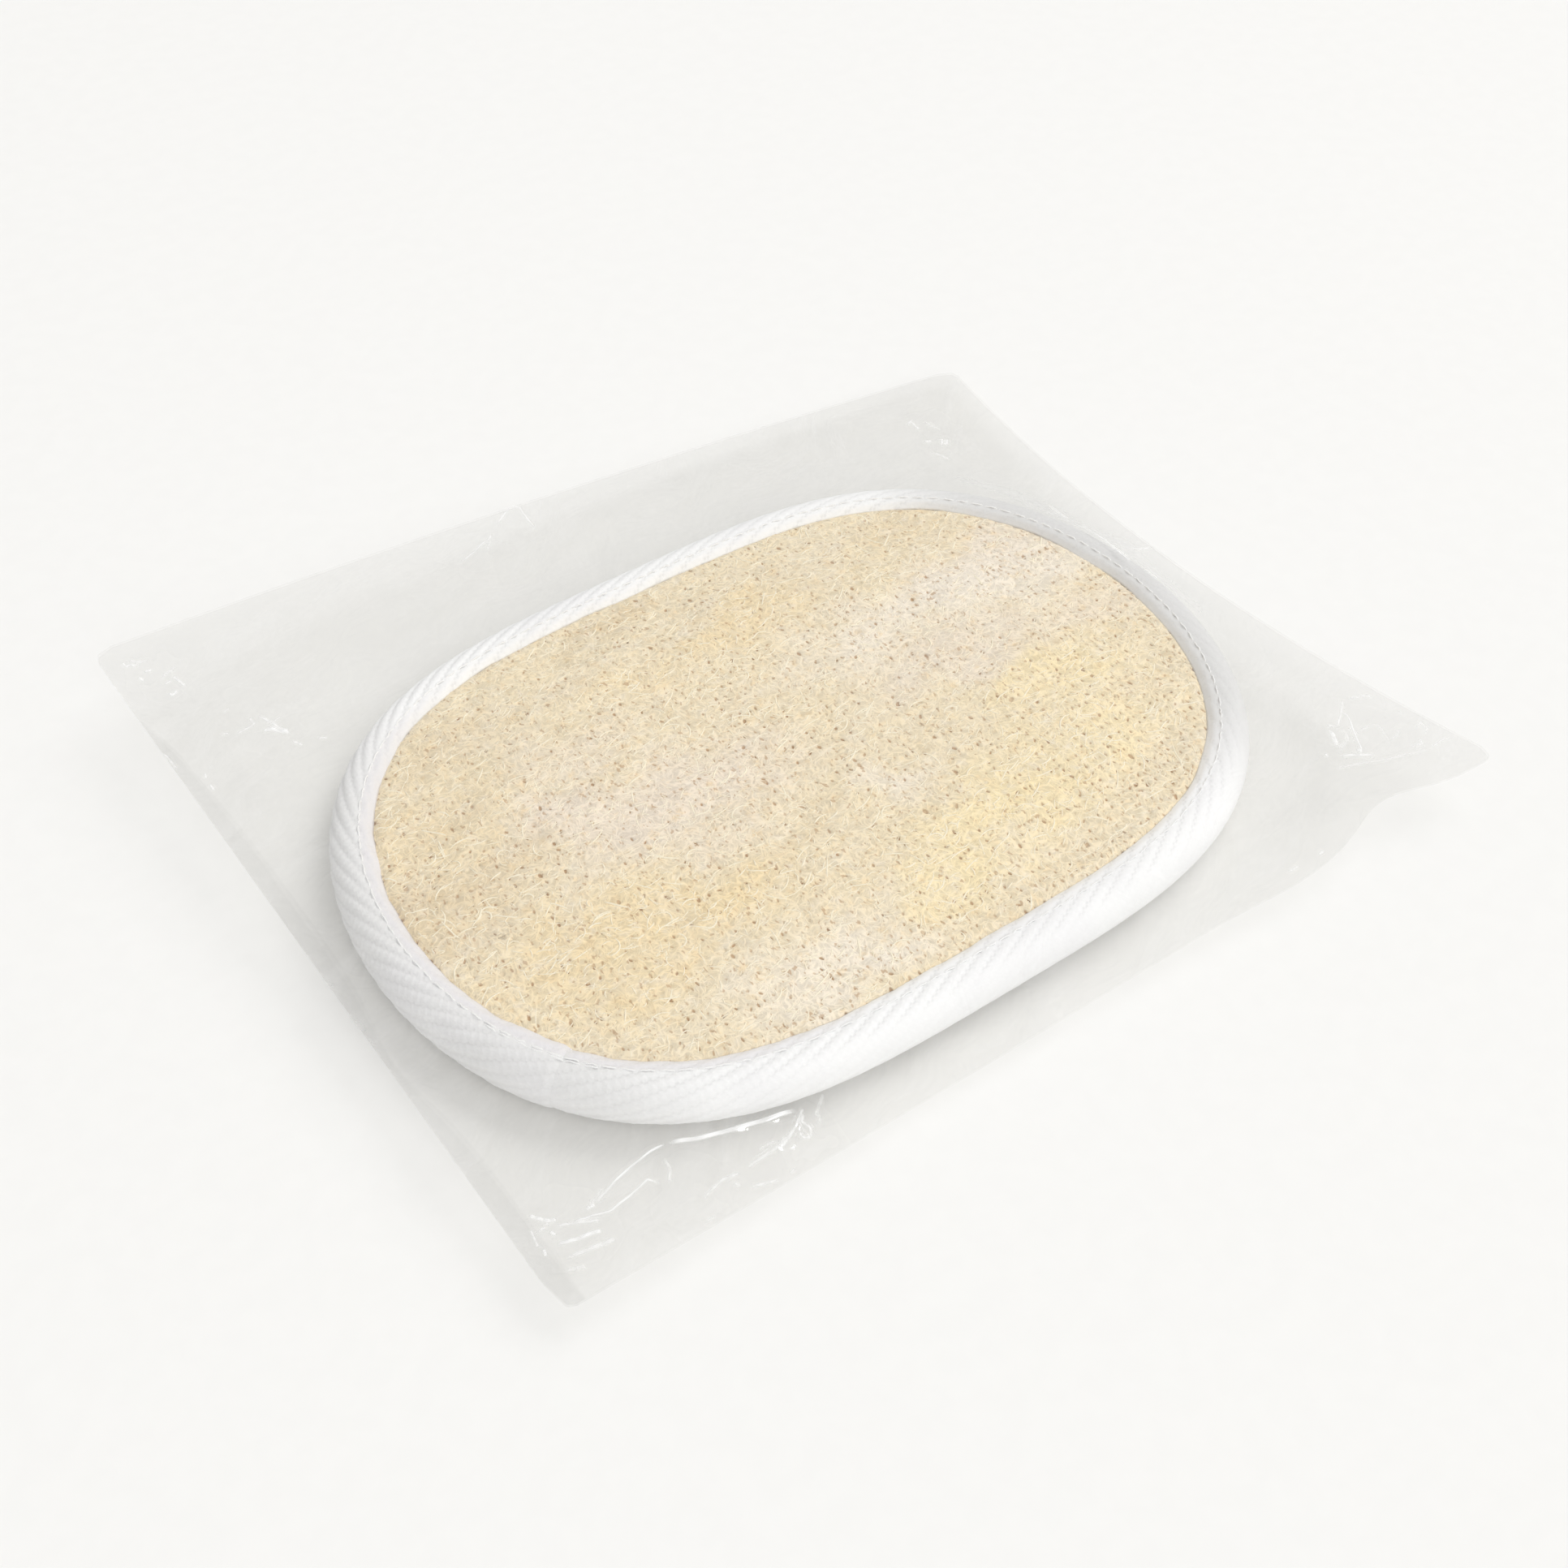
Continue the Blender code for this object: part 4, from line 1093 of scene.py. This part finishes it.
class LOOFAH_OT_tape(bpy.types.Operator):
    """Fold the twill tape round the pad's edge, its ends overlapping"""

    bl_idname = "loofah.add_tape"
    bl_label = "Binding tape"

    STEPS = 1500
    ROWS = 56
    INNER_ROWS = 5
    THICKNESS = 0.8 * MM
    LIP_STEP = 0.66 * MM
    SIDE_START = 4.2 * MM
    WAVE_HEIGHT = 0.16 * MM
    END_FADE = 1.6 * MM
    PUCKER_REACH = 0.42 * MM

    # Directions from the pad's centre: boldest ridges, smoothest side and greyest lip
    BOLD_WAY = math.radians(176.0)
    SMOOTH_WAY = math.radians(-52.0)
    GREY_LIP_WAY = math.radians(188.0)

    def execute(self, context):
        look = context.scene.loofah_tape
        outline = Outline()
        join = self.join(outline)
        start = join - TAPE_OVERLAP
        whole = outline.length + TAPE_OVERLAP
        bm = bmesh.new()
        rows = self.ROWS + self.INNER_ROWS
        bmesh.ops.create_grid(bm, x_segments=self.STEPS, y_segments=rows, size=0.5)
        grid = np.array([vert.co[:2] for vert in bm.verts]) + 0.5
        offset, height, nx, nz, across, outer = self.section(np.rint(grid[:, 1] * rows).astype(int))
        along = grid[:, 0] * whole
        reach = 1.0 - np.clip(offset / HINGE, 0.0, 1.0)
        point, normal = outline.at(start + along)
        direction = np.arctan2(point[:, 1] - outline.centre[1], point[:, 0] - outline.centre[0])

        # How bold the ridges are: most at the left, least on the smooth side, at the lip and where the ends overlap
        bold = 0.30 + 0.70 * smooth_step(0.5 + 0.75 * np.cos(direction - self.BOLD_WAY))
        side = smooth_step((across - self.SIDE_START) / (1.8 * MM))
        smooth_side = smooth_step(0.5 + 1.1 * np.cos(direction - self.SMOOTH_WAY))
        band = 0.50 + 0.50 * smooth_step((offset - 2.2 * MM) / (0.7 * MM))
        plain = side * smooth_side
        bold = bold * band * (1.0 - 0.75 * plain)
        top_end = smooth_step((along - outline.length + 4.0 * MM) / (4.0 * MM))
        under = 1.0 - smooth_step((along - TAPE_OVERLAP) / (2.0 * MM))
        bold = bold * (1.0 - 0.6 * under) * (1.0 - 0.3 * top_end)

        # The outer face rises over the ridges, and the two ends thin out where they lie over each other
        row, run = self.weave(look, outline, along, across)
        relief = self.relief(look, row, run, bold)
        pucker = self.pucker(start + along, offset)
        thin = smooth_step((along - whole + self.END_FADE) / self.END_FADE)
        buried = 1.0 - smooth_step((along - TAPE_OVERLAP + self.END_FADE) / self.END_FADE)
        upper = 0.12 * top_end - 0.30 * thin - 0.10 * under - 0.37 * buried
        lower = 0.42 * top_end + 0.26 * thin - 0.05 * under
        feather = smooth_step(1.0 - offset / (1.0 * MM)) * outer
        rise = np.where(outer, relief - pucker - self.LIP_STEP * feather + upper * MM, lower * MM)
        wave = self.WAVE_HEIGHT * swell(start + along, across, 61, 11.0 * MM) * reach
        flat = offset - 0.45 * MM * (top_end * reach + feather) - wave * np.where(offset < HINGE, 1.0, 0.0)
        x = point[:, 0] + normal[:, 0] * (flat + nx * rise)
        y = point[:, 1] + normal[:, 1] * (flat + nx * rise)
        z = BINDING_MIDDLE + height + nz * rise
        for vert, xyz in zip(bm.verts, np.stack([x, y, z], 1)):
            vert.co = xyz

        # Marks that the material reads
        # The lip is greyer beside the tape's cut end
        end = np.cos(direction - self.GREY_LIP_WAY)
        grey_lip = smooth_step((end - 0.45) / 0.45) * np.where(along < TAPE_OVERLAP + 0.2 * MM, 0.0, 1.0)
        grey_lip = grey_lip * smooth_step((2.5 * MM - across) / (0.8 * MM))
        # Painted shade round the pad's two ends, deeper at the right end
        painted_end_shade = smooth_step((np.abs(np.cos(direction)) - 0.72) / 0.20)
        painted_end_shade = painted_end_shade * np.where(np.cos(direction) > 0.0, 0.95, 0.63)
        for name, values in (("grey_lip", grey_lip), ("painted_end_shade", painted_end_shade), ("plain", plain)):
            shade = bm.verts.layers.float.new(name)
            for vert, value in zip(bm.verts, values):
                vert[shade] = value
        strip = bm.verts.layers.float_vector.new("weave")
        for vert, values in zip(bm.verts, np.stack([row, run, bold], 1)):
            vert[strip] = values

        # The strip's two long edges meet inside the fold, and its two ends are filled
        seam = [vert for vert, v in zip(bm.verts, grid[:, 1]) if v < 1e-4 or v > 1.0 - 1e-4]
        bmesh.ops.remove_doubles(bm, verts=seam, dist=WELD)
        bmesh.ops.holes_fill(bm, edges=[edge for edge in bm.edges if edge.is_boundary], sides=0)
        bmesh.ops.recalc_face_normals(bm, faces=bm.faces[:])
        mesh = fresh_mesh(bm, "binding_tape_twill")
        made = settle(mesh, tape_finish(), "tape", "binding_tape")
        return {"FINISHED"}

    @staticmethod
    def join(outline):
        """Distance along the outline to where the tape's cut end shows."""
        gaps = np.hypot(*(outline.places + outline.centre - np.array(TAPE_JOIN)).T)
        return outline.marks[int(gaps.argmin())]

    def section(self, row):
        """The folded strip's section at each row: outer face over the fold, then the inner face back."""
        fold = np.linspace(math.pi / 2.0, -math.pi / 2.0, 60)
        flat = np.linspace(0.0, HINGE, 12)[:-1]
        offsets = np.concatenate([flat, HINGE + BINDING_RADIUS * np.cos(fold), flat[::-1]])
        heights = np.concatenate([flange(flat), BINDING_RADIUS * np.sin(fold), -flange(flat[::-1])])
        marks = np.concatenate(([0.0], np.cumsum(np.hypot(np.diff(offsets), np.diff(heights)))))
        outer = row <= self.ROWS
        back = (row - self.ROWS) / self.INNER_ROWS
        share = np.where(outer, row / self.ROWS, 1.0 - back)
        across = share * marks[-1]
        offset = np.interp(across, marks, offsets)
        height = np.interp(across, marks, heights)
        ahead = np.interp(across + 1e-5, marks, offsets) - np.interp(across - 1e-5, marks, offsets)
        rise = np.interp(across + 1e-5, marks, heights) - np.interp(across - 1e-5, marks, heights)
        size = np.hypot(ahead, rise)
        nx, nz = -rise / size, ahead / size
        inner = ~outer & (row < self.ROWS + self.INNER_ROWS)
        offset = offset - np.where(inner, nx * self.THICKNESS, 0.0)
        height = height - np.where(inner, nz * self.THICKNESS, 0.0)
        return offset, height, nx, nz, across, ~inner

    @staticmethod
    def weave(look, outline, along, across):
        """Counts of ridges and of yarn crossings; the ridges meet where the tape's ends overlap."""
        sine, cosine = math.sin(look.lean), math.cos(look.lean)
        ridge = outline.length * sine / (2 * round(outline.length * sine / look.ridge_pitch / 2.0))
        bead = outline.length * cosine / round(outline.length * cosine / look.bead_pitch)
        return (along * sine + across * cosine) / ridge, (along * cosine - across * sine) / bead

    @staticmethod
    def relief(look, row, run, bold):
        """Rounded ridges that lean across the tape, beaded where the yarns cross."""
        ridge = 1.0 - np.abs(2.0 * (row - np.floor(row)) - 1.0) ** 2.6
        bead = 0.5 + 0.5 * np.cos(TAU * (run + 0.5 * np.floor(row)))
        return bold * look.ridge_height * (ridge * (0.80 + 0.20 * bead) - 0.80)

    def pucker(self, station, offset):
        """How far the tape is drawn in along the stitch line, most at each hole."""
        hole = np.abs((station / STITCH_LENGTH) % 1.0 - 0.5) * 2.0
        near = np.exp(-(((offset - STITCH_INSET) / self.PUCKER_REACH) ** 2))
        return near * (0.05 + 0.15 * smooth_step((hole - 0.55) / 0.45)) * MM


class LOOFAH_OT_threads(bpy.types.Operator):
    """Sew the tape down with its upper and lower rows of stitches"""

    bl_idname = "loofah.add_threads"
    bl_label = "Stitches"

    def execute(self, context):
        outline = Outline()
        material = thread_finish()
        join = LOOFAH_OT_tape.join(outline)
        stitches = int(outline.length / STITCH_LENGTH)
        pitch = outline.length / stitches
        step = pitch / PATH_POINTS
        rows = [(np.arange(stitches * PATH_POINTS) * step, 0.0, True)]
        extra = join - EXTRA_BEFORE * pitch + np.arange(EXTRA_STITCHES * PATH_POINTS) * step
        rows.append((extra, EXTRA_SHIFT, False))
        for name, side, node in (
            ("needle_stitches", 1.0, "needle_thread"),
            ("bobbin_stitches", -1.0, "bobbin_thread"),
        ):
            curve = round_curve(name, THREAD_RADIUS, 1)
            dice = random.Random(83)
            for along, shift, closed in rows[: 2 if side > 0 else 1]:
                point, normal = outline.at(along)
                phase = np.arange(len(along)) % PATH_POINTS
                wobble = np.array([dice.uniform(-0.10, 0.10) * MM for _ in along])
                offset = STITCH_INSET + shift + wobble
                rise = np.array(STITCH_RISE)[phase] * MM
                z = BINDING_MIDDLE + side * (flange(offset) + rise - 0.02 * MM)
                flat = point + normal * offset[:, None]
                add_run(curve, np.column_stack([flat, z]), closed)
            settle(curve_mesh(curve, name), material, "thread", node)
        return {"FINISHED"}


class BagShape:
    """The bag's outline and how high its panels lie."""

    def __init__(self, outline):
        size = bpy.context.scene.loofah_bag
        self.outline = outline
        self.corners = [np.array(c) for c in (size.left_back, size.right_back, size.right_front, size.left_front)]
        self.bows = [np.array(b) for b in (size.back_bow, size.right_bow, size.front_bow, (0.0, 0.0, 0.0))]
        steps = np.linspace(0.0, 1.0, 400)
        rim = np.concatenate([self.edge(k, steps) for k in range(4)])
        direction, self.rim_distance = outline.polar(rim[:, 0], rim[:, 1])
        order = np.argsort(direction)
        self.rim_direction = direction[order]
        self.rim_distance = self.rim_distance[order]
        self.rim_height = rim[order, 2]

    def edge(self, k, t):
        """Points along one bowed edge, clockwise from the left back corner."""
        begin, end = self.corners[k], self.corners[(k + 1) % 4]
        control = (begin + end) / 2.0 + 2.0 * self.bows[k]
        t = np.asarray(t)[..., None]
        bowed = begin * (1.0 - t) ** 2 + control * (2.0 * t * (1.0 - t)) + end * t ** 2
        if k == 2:
            # The front edge is drawn in near its right end, and bulges a little beyond
            tuck = 3.6 * np.exp(-(((t - 0.118) / 0.050) ** 2)) - 0.9 * np.exp(-(((t - 0.245) / 0.055) ** 2))
            bowed = bowed + np.array([0.0, 1.0, 0.0]) * tuck * MM
        return bowed

    def patch(self, u, v):
        """The flat place of a point u from left to right and v from front to back."""
        back, right, front, left = (self.edge(0, u), self.edge(1, 1.0 - v), self.edge(2, 1.0 - u), self.edge(3, v))
        u, v = u[:, None], v[:, None]
        lb, rb, rf, lf = self.corners
        corners = (1 - u) * (1 - v) * lf + u * (1 - v) * rf + (1 - u) * v * lb + u * v * rb
        return ((1 - v) * front + v * back + (1 - u) * left + u * right - corners)[:, :2]

    def rim(self, direction):
        distance = np.interp(direction, self.rim_direction, self.rim_distance, period=TAU)
        height = np.interp(direction, self.rim_direction, self.rim_height, period=TAU)
        return distance, height

    def back(self, x, y):
        """Height of the lower panel: flat under the pad, curling up to the rim."""
        direction, distance = self.outline.polar(x, y)
        hinge = self.outline.radius(direction, HINGE)
        rim, rim_height = self.rim(direction)
        t = np.clip((distance - hinge) / (rim - hinge), 0.0, 1.0)
        wave = swell(x, y, 91, 26.0 * MM) * 0.45 * MM * smooth_step(t / 0.35) * smooth_step((1.0 - t) / 0.12)
        return np.maximum((rim_height - 0.2 * MM) * t ** 2 + wave, 0.0), t

    def front(self, x, y):
        """Height of the upper panel: over the pad, round the tape, then falling to the rim."""
        direction, distance = self.outline.polar(x, y)
        face = self.outline.radius(direction)
        hinge = self.outline.radius(direction, HINGE)
        rim, rim_height = self.rim(direction)
        reach = BINDING_RADIUS + TAPE_CLEARANCE
        crown = BINDING_MIDDLE + reach
        over = crown + (FILM_CROWN - crown) * smooth_step((1.0 - distance / face) / DOME_FRACTION)
        run = rim - hinge
        drop = rim_height - BINDING_MIDDLE
        lift = np.arctan2(drop, run) + np.arccos(np.clip(reach / np.hypot(run, drop), -1.0, 1.0))
        beyond = distance - hinge
        touch_x, touch_z = reach * np.cos(lift), reach * np.sin(lift)
        arc = np.sqrt(np.clip(reach ** 2 - np.clip(beyond, 0.0, touch_x) ** 2, 0.0, None))
        t = np.clip((beyond - touch_x) / (run - touch_x), 0.0, 1.0)
        straight = touch_z + (drop - touch_z) * t
        rolled = BINDING_MIDDLE + np.where(beyond < touch_x, arc, straight)
        return np.where(distance < face, over, np.where(beyond < 0.0, crown, rolled)), t


def film_mesh(bag, name, cell, creases, crumples, seed, side):
    """A film panel's flat mesh, finer where it is creased, facing up or down."""
    outline = bag.outline
    bm = bmesh.new()
    wide = np.linalg.norm(bag.corners[1] - bag.corners[0])
    deep = np.linalg.norm(bag.corners[2] - bag.corners[1])
    bmesh.ops.create_grid(bm, x_segments=round(wide / cell), y_segments=round(deep / cell), size=0.5)
    grid = np.array([vert.co[:2] for vert in bm.verts]) + 0.5
    flat = bag.patch(grid[:, 0], grid[:, 1])
    dice = random.Random(seed)
    edge_near = np.minimum(grid, 1.0 - grid).min(1)
    for vert, (x, y), near in zip(bm.verts, flat, edge_near):
        shake = 0.22 * cell if near > 1e-4 else 0.0
        vert.co = (x + dice.uniform(-shake, shake), y + dice.uniform(-shake, shake), 0.0)
    for k in range(4):
        round_corner(bm, bag, k)
    for reach_lines, reach_spots, reach_rim in ((2.2, 1.00, 0.9), (1.0, 0.60, 0.45), (0.40, 0.0, 0.0)):
        refine(bm, bag, creases, crumples, reach_lines * MM, reach_spots, reach_rim * MM)
    bmesh.ops.triangulate(bm, faces=bm.faces[:])
    for face in bm.faces:
        if face.normal.z * side < 0.0:
            face.normal_flip()
    return fresh_mesh(bm, name)


def round_corner(bm, bag, k):
    """Trims a corner with three cuts across it."""
    corner = bag.corners[k][:2]
    inward = bag.outline.centre - corner
    middle = math.atan2(inward[1], inward[0])
    for turn, depth in ((-0.45, 0.95), (0.0, 1.15), (0.45, 0.95)):
        way = np.array([math.cos(middle + turn), math.sin(middle + turn)])
        spot = corner + way * depth * MM
        near = [face for face in bm.faces if (face.calc_center_median().xy - Vector(corner)).length < CORNER_REACH]
        geom = list(dict.fromkeys(g for face in near for g in (face, *face.edges, *face.verts)))
        bmesh.ops.bisect_plane(
            bm, geom=geom, dist=WELD, plane_co=(*spot, 0.0), plane_no=(*-way, 0.0), clear_outer=True
        )


def refine(bm, bag, creases, crumples, line_reach, spot_share, rim_reach):
    """Halves the edges that lie near a crease, in a crumpled place or along the rim."""
    middles = np.array([((edge.verts[0].co + edge.verts[1].co) / 2.0)[:2] for edge in bm.edges])
    x, y = middles[:, 0], middles[:, 1]
    wanted = np.zeros(len(x), bool)
    for _, _, points in creases:
        wanted |= distance_to_line(x, y, points)[0] < line_reach
    for (cx, cy), reach, *_ in crumples:
        wanted |= np.hypot(x - cx * MM, y - cy * MM) < reach * MM * spot_share
    direction, distance = bag.outline.polar(x, y)
    wanted |= bag.rim(direction)[0] - distance < rim_reach
    edges = [edge for edge, want in zip(bm.edges, wanted) if want]
    bmesh.ops.subdivide_edges(bm, edges=edges, cuts=1, use_grid_fill=True)


def crease_marks(x, y, creases):
    """How far creases lift the film, the signed distance to the nearest in its half widths, and its whiteness: the
    crease's own whitening with painted glints.
    """
    rise = np.zeros_like(x)
    nearest = np.full_like(x, NO_CREASE)
    white = np.zeros_like(x)
    for k, (haze_and_painted_light, half, points) in enumerate(creases):
        gap, along, side = distance_to_line(x, y, points)
        dice = random.Random(k)
        beat = 0.80 + 0.20 * np.sin(along * TAU * dice.uniform(2.0, 4.0) + dice.uniform(0.0, TAU))
        fade = smooth_step(along / 0.12) * smooth_step((1.0 - along) / 0.12) * beat
        ridge = np.clip(1.0 - gap / (0.60 * MM), 0.0, 1.0)
        rise = rise + haze_and_painted_light * fade * MM * (0.22 * ridge + 0.14 * np.exp(-((gap / (1.8 * MM)) ** 2)))
        close = gap < np.abs(nearest) * half * MM
        nearest = np.where(close, side * gap / (half * MM), nearest)
        # Whiteness of the nearest crease: its own whitening with painted glints
        white = np.where(close, haze_and_painted_light * fade * smooth_step((0.60 * MM - gap) / (0.15 * MM)), white)
    return rise, np.clip(nearest, -NO_CREASE, NO_CREASE), white


def crumple(x, y, crumples):
    """Height of the crumpled places, and how much of each place they cover."""
    rise = np.zeros_like(x)
    cover = np.zeros_like(x)
    for (cx, cy), reach, deep, seed in crumples:
        dice = random.Random(seed)
        u = x / MM - cx + 0.9 * swell(x, y, seed + 200, 5.0 * MM)
        v = y / MM - cy + 0.9 * swell(x, y, seed + 300, 5.0 * MM)
        window = smooth_step(1.1 * (1.0 - np.hypot(u, v) / reach))
        total = np.zeros_like(x)
        for _ in range(6):
            heading = dice.uniform(0.0, TAU)
            side = u * math.cos(heading) + v * math.sin(heading) - dice.uniform(-0.55, 0.55) * reach
            total = total + dice.choice((-1.0, 1.0)) * dice.uniform(0.20, 0.45) * (np.abs(side) - 0.5 * reach)
        rise = rise + 0.5 * deep * MM * window * np.clip(total, -1.6, 2.2)
        cover = np.maximum(cover, window)
    return rise, cover


class LOOFAH_OT_bag(bpy.types.Operator):
    """Lay the two clear film panels of the bag under and over the pad"""

    bl_idname = "loofah.add_bag"
    bl_label = "Clear film bag"

    def execute(self, context):
        size = context.scene.loofah_bag
        bag = BagShape(Outline())
        self.lower(bag, size)
        self.upper(bag, size)
        return {"FINISHED"}

    def lower(self, bag, size):
        """The panel under the pad, less crumpled than the upper one."""
        crumples = tuple(
            (middle, reach * 0.8, deep * 0.5, seed + 50) for middle, reach, deep, seed in FRONT_CRUMPLES
        )
        mesh = film_mesh(bag, "bag_back_panel", size.cell * 1.25, (), crumples, 43, -1.0)
        flat = places(mesh)
        x, y = flat[:, 0], flat[:, 1]
        height, t = bag.back(x, y)
        rise, cover = crumple(x, y, crumples)
        shift = rise * smooth_step(t / 0.2) * smooth_step((1.0 - t) / 0.05)
        height = np.maximum(height + shift, LEAST_HEIGHT)
        no_creases = (np.full_like(x, NO_CREASE), np.zeros_like(x))
        self.finish_panel(bag, size, mesh, flat, height, no_creases, 0.5 * cover)
        made = settle(mesh, film_finish("film_back", 0.004), "film", "bag_back_film")

    def upper(self, bag, size):
        """The panel over the pad, kept just clear of the lower one."""
        mesh = film_mesh(bag, "bag_front_panel", size.cell, FRONT_CREASES, FRONT_CRUMPLES, 47, 1.0)
        flat = places(mesh)
        x, y = flat[:, 0], flat[:, 1]
        height, t = bag.front(x, y)
        low, _ = bag.back(x, y)
        fine, near, white = crease_marks(x, y, FRONT_CREASES)
        rise, cover = crumple(x, y, FRONT_CRUMPLES)
        loose = smooth_step(t / 0.25) * smooth_step((1.0 - t) / 0.10)
        wave = swell(x, y, 97, 22.0 * MM) * 0.38 * MM * loose
        sag = 0.9 * MM * np.sin(math.pi * t) * loose
        lifted = height + wave - sag + (rise + fine) * smooth_step((1.0 - t) / 0.04)
        spare_height = lifted - low - PANEL_CLEARANCE
        lifted = low + PANEL_CLEARANCE + 0.5 * (spare_height + np.hypot(spare_height, 0.4 * MM))
        crisp = np.maximum(cover, smooth_step(2.0 * white))
        self.finish_panel(bag, size, mesh, flat, lifted, (near, white), crisp)
        made = settle(mesh, film_finish("film_front", 0.006), "film", "bag_front_film")

    @staticmethod
    def finish_panel(bag, size, mesh, flat, height, marks, crisp):
        """Writes the heights, and marks the welded band and the panel's rim."""
        x, y = flat[:, 0], flat[:, 1]
        direction, distance = bag.outline.polar(x, y)
        rim, _ = bag.rim(direction)
        begin, end = bag.corners[3], bag.corners[0]
        way = (end - begin)[:2] / np.linalg.norm((end - begin)[:2])
        inset = (x - begin[0]) * way[1] - (y - begin[1]) * way[0]
        flat[:, 2] = height
        put(mesh, flat)
        paint(mesh, "crease_gap", marks[0])
        # The creases' white: their own whitening with painted glints
        paint(mesh, "crease_whitening_and_glint", marks[1])
        # The band narrows towards the left back corner and beside the pad
        narrow = 1.4 * MM * smooth_step((y - 18.0 * MM) / (30.0 * MM))
        narrow = narrow + 3.0 * MM * smooth_step((y - 42.0 * MM) / (20.0 * MM))
        narrow = narrow + 2.2 * MM * np.exp(-(((y + 26.0 * MM) / (13.0 * MM)) ** 2))
        paint(mesh, "seal_gap", inset - size.seal_width + narrow)
        paint(mesh, "crisp", crisp)
        paint(mesh, "rim", smooth_step(1.0 - (rim - distance) / (0.55 * MM)))


class LOOFAH_OT_stage(bpy.types.Operator):
    """Set the pale floor, the soft lights and the camera"""

    bl_idname = "loofah.add_stage"
    bl_label = "Floor, light and camera"

    def execute(self, context):
        look = context.scene.loofah_stage
        self.floor(look)
        self.lights(look)
        self.camera(look)
        context.scene.view_settings.view_transform = "Standard"
        return {"FINISHED"}

    @staticmethod
    def floor(look):
        bm = bmesh.new()
        bmesh.ops.create_grid(bm, x_segments=1, y_segments=1, size=FLOOR_HALF)
        mesh = fresh_mesh(bm, "floor")
        values = places(mesh)
        values[:, 2] = -FLOOR_DROP
        put(mesh, values)
        floor = bpy.data.objects.new("floor", mesh)
        bpy.context.scene.collection.objects.link(floor)
        finish = Finish("floor")
        where = finish.object_place()
        grain = finish.noise(where, 240.0, detail=2.0)
        tone = finish.mix(grain.between(0.3, 0.7), look.floor, tuple(0.99 * c for c in look.floor))
        sockets = {"Base Color": tone, "Roughness": 0.9, "Specular IOR Level": 0.1}
        mesh.materials.append(finish.surface(finish.add("ShaderNodeBsdfPrincipled", None, sockets)))

    @staticmethod
    def lights(look):
        world = bpy.data.worlds.new("surround")
        world.use_nodes = True
        glow = world.node_tree.nodes["Background"].inputs
        glow["Color"].default_value = (*SKY_COLOUR, 1.0)
        glow["Strength"].default_value = look.sky
        bpy.context.scene.world = world
        flat = math.cos(look.key_rise)
        key_way = Vector((flat * math.cos(look.key_turn), flat * math.sin(look.key_turn), math.sin(look.key_rise)))
        LOOFAH_OT_stage.lamp("key", key_way * look.key_distance, look.key_width, look.key, glossy=False)
        fill_spot = Vector(FILL_WAY).normalized() * look.key_distance
        LOOFAH_OT_stage.lamp("fill", fill_spot, look.key_width, look.fill, glossy=False)
        for name, way in zip(("glint_front", "glint_left"), GLINT_WAYS):
            spot = Vector(way).normalized() * look.key_distance
            LOOFAH_OT_stage.lamp(name, spot, look.glint_width, look.glint, glossy=True)

    @staticmethod
    def lamp(name, spot, width, power, glossy):
        """A square light aimed at the pad, seen either in reflections only or not in them at all."""
        light = bpy.data.lights.new(name, "AREA")
        light.energy = power
        light.size = width
        light.color = LAMP_COLOUR
        lamp = bpy.data.objects.new(name, light)
        bpy.context.scene.collection.objects.link(lamp)
        lamp.location = spot
        lamp.rotation_euler = spot.to_track_quat("Z", "Y").to_euler()
        lamp.visible_glossy = glossy
        lamp.visible_diffuse = not glossy

    @staticmethod
    def camera(look):
        turn, tilt = look.camera_turn, look.camera_tilt
        forward = Vector((math.sin(turn) * math.cos(tilt), math.cos(turn) * math.cos(tilt), -math.sin(tilt)))
        right = Vector((math.cos(turn), -math.sin(turn), 0.0))
        up = right.cross(forward)
        way = forward + right * look.aim[0] + up * look.aim[1]
        lens = bpy.data.cameras.new("camera")
        lens.lens = look.lens
        lens.sensor_width = SENSOR_WIDTH
        lens.clip_start = 0.01
        camera = bpy.data.objects.new("camera", lens)
        bpy.context.scene.collection.objects.link(camera)
        turned = Matrix((right, up, -forward)).transposed()
        camera.location = Vector(bpy.context.scene.loofah_pad.centre) - way.normalized() * look.camera_distance
        camera.rotation_euler = turned.to_euler()
        bpy.context.scene.camera = camera


class LOOFAH_PT_panel(bpy.types.Panel):
    """The pieces of the bath pad, in the order they are made"""

    bl_idname = "LOOFAH_PT_panel"
    bl_label = "Loofah Pad"
    bl_space_type = "VIEW_3D"
    bl_region_type = "UI"
    bl_category = "Loofah Pad"

    def draw(self, context):
        for operator in OPERATORS:
            self.layout.operator(operator.bl_idname)


OPERATORS = (
    LOOFAH_OT_stage,
    LOOFAH_OT_mat,
    LOOFAH_OT_fibres,
    LOOFAH_OT_filling,
    LOOFAH_OT_tape,
    LOOFAH_OT_threads,
    LOOFAH_OT_bag,
)
SETTINGS = {
    "loofah_pad": PadSettings,
    "loofah_look": LoofahSettings,
    "loofah_tape": TapeSettings,
    "loofah_bag": BagSettings,
    "loofah_stage": StageSettings,
}
CLASSES = (*SETTINGS.values(), *OPERATORS, LOOFAH_PT_panel)


def register():
    for one in CLASSES:
        bpy.utils.register_class(one)
    for name, group in SETTINGS.items():
        setattr(bpy.types.Scene, name, bpy.props.PointerProperty(type=group))


def unregister():
    for name in SETTINGS:
        delattr(bpy.types.Scene, name)
    for one in reversed(CLASSES):
        bpy.utils.unregister_class(one)


def main():
    register()
    bpy.ops.loofah.add_stage()
    bpy.ops.loofah.add_mat()
    bpy.ops.loofah.add_fibres()
    bpy.ops.loofah.add_filling()
    bpy.ops.loofah.add_tape()
    bpy.ops.loofah.add_threads()
    bpy.ops.loofah.add_bag()


if __name__ == "__main__":
    main()
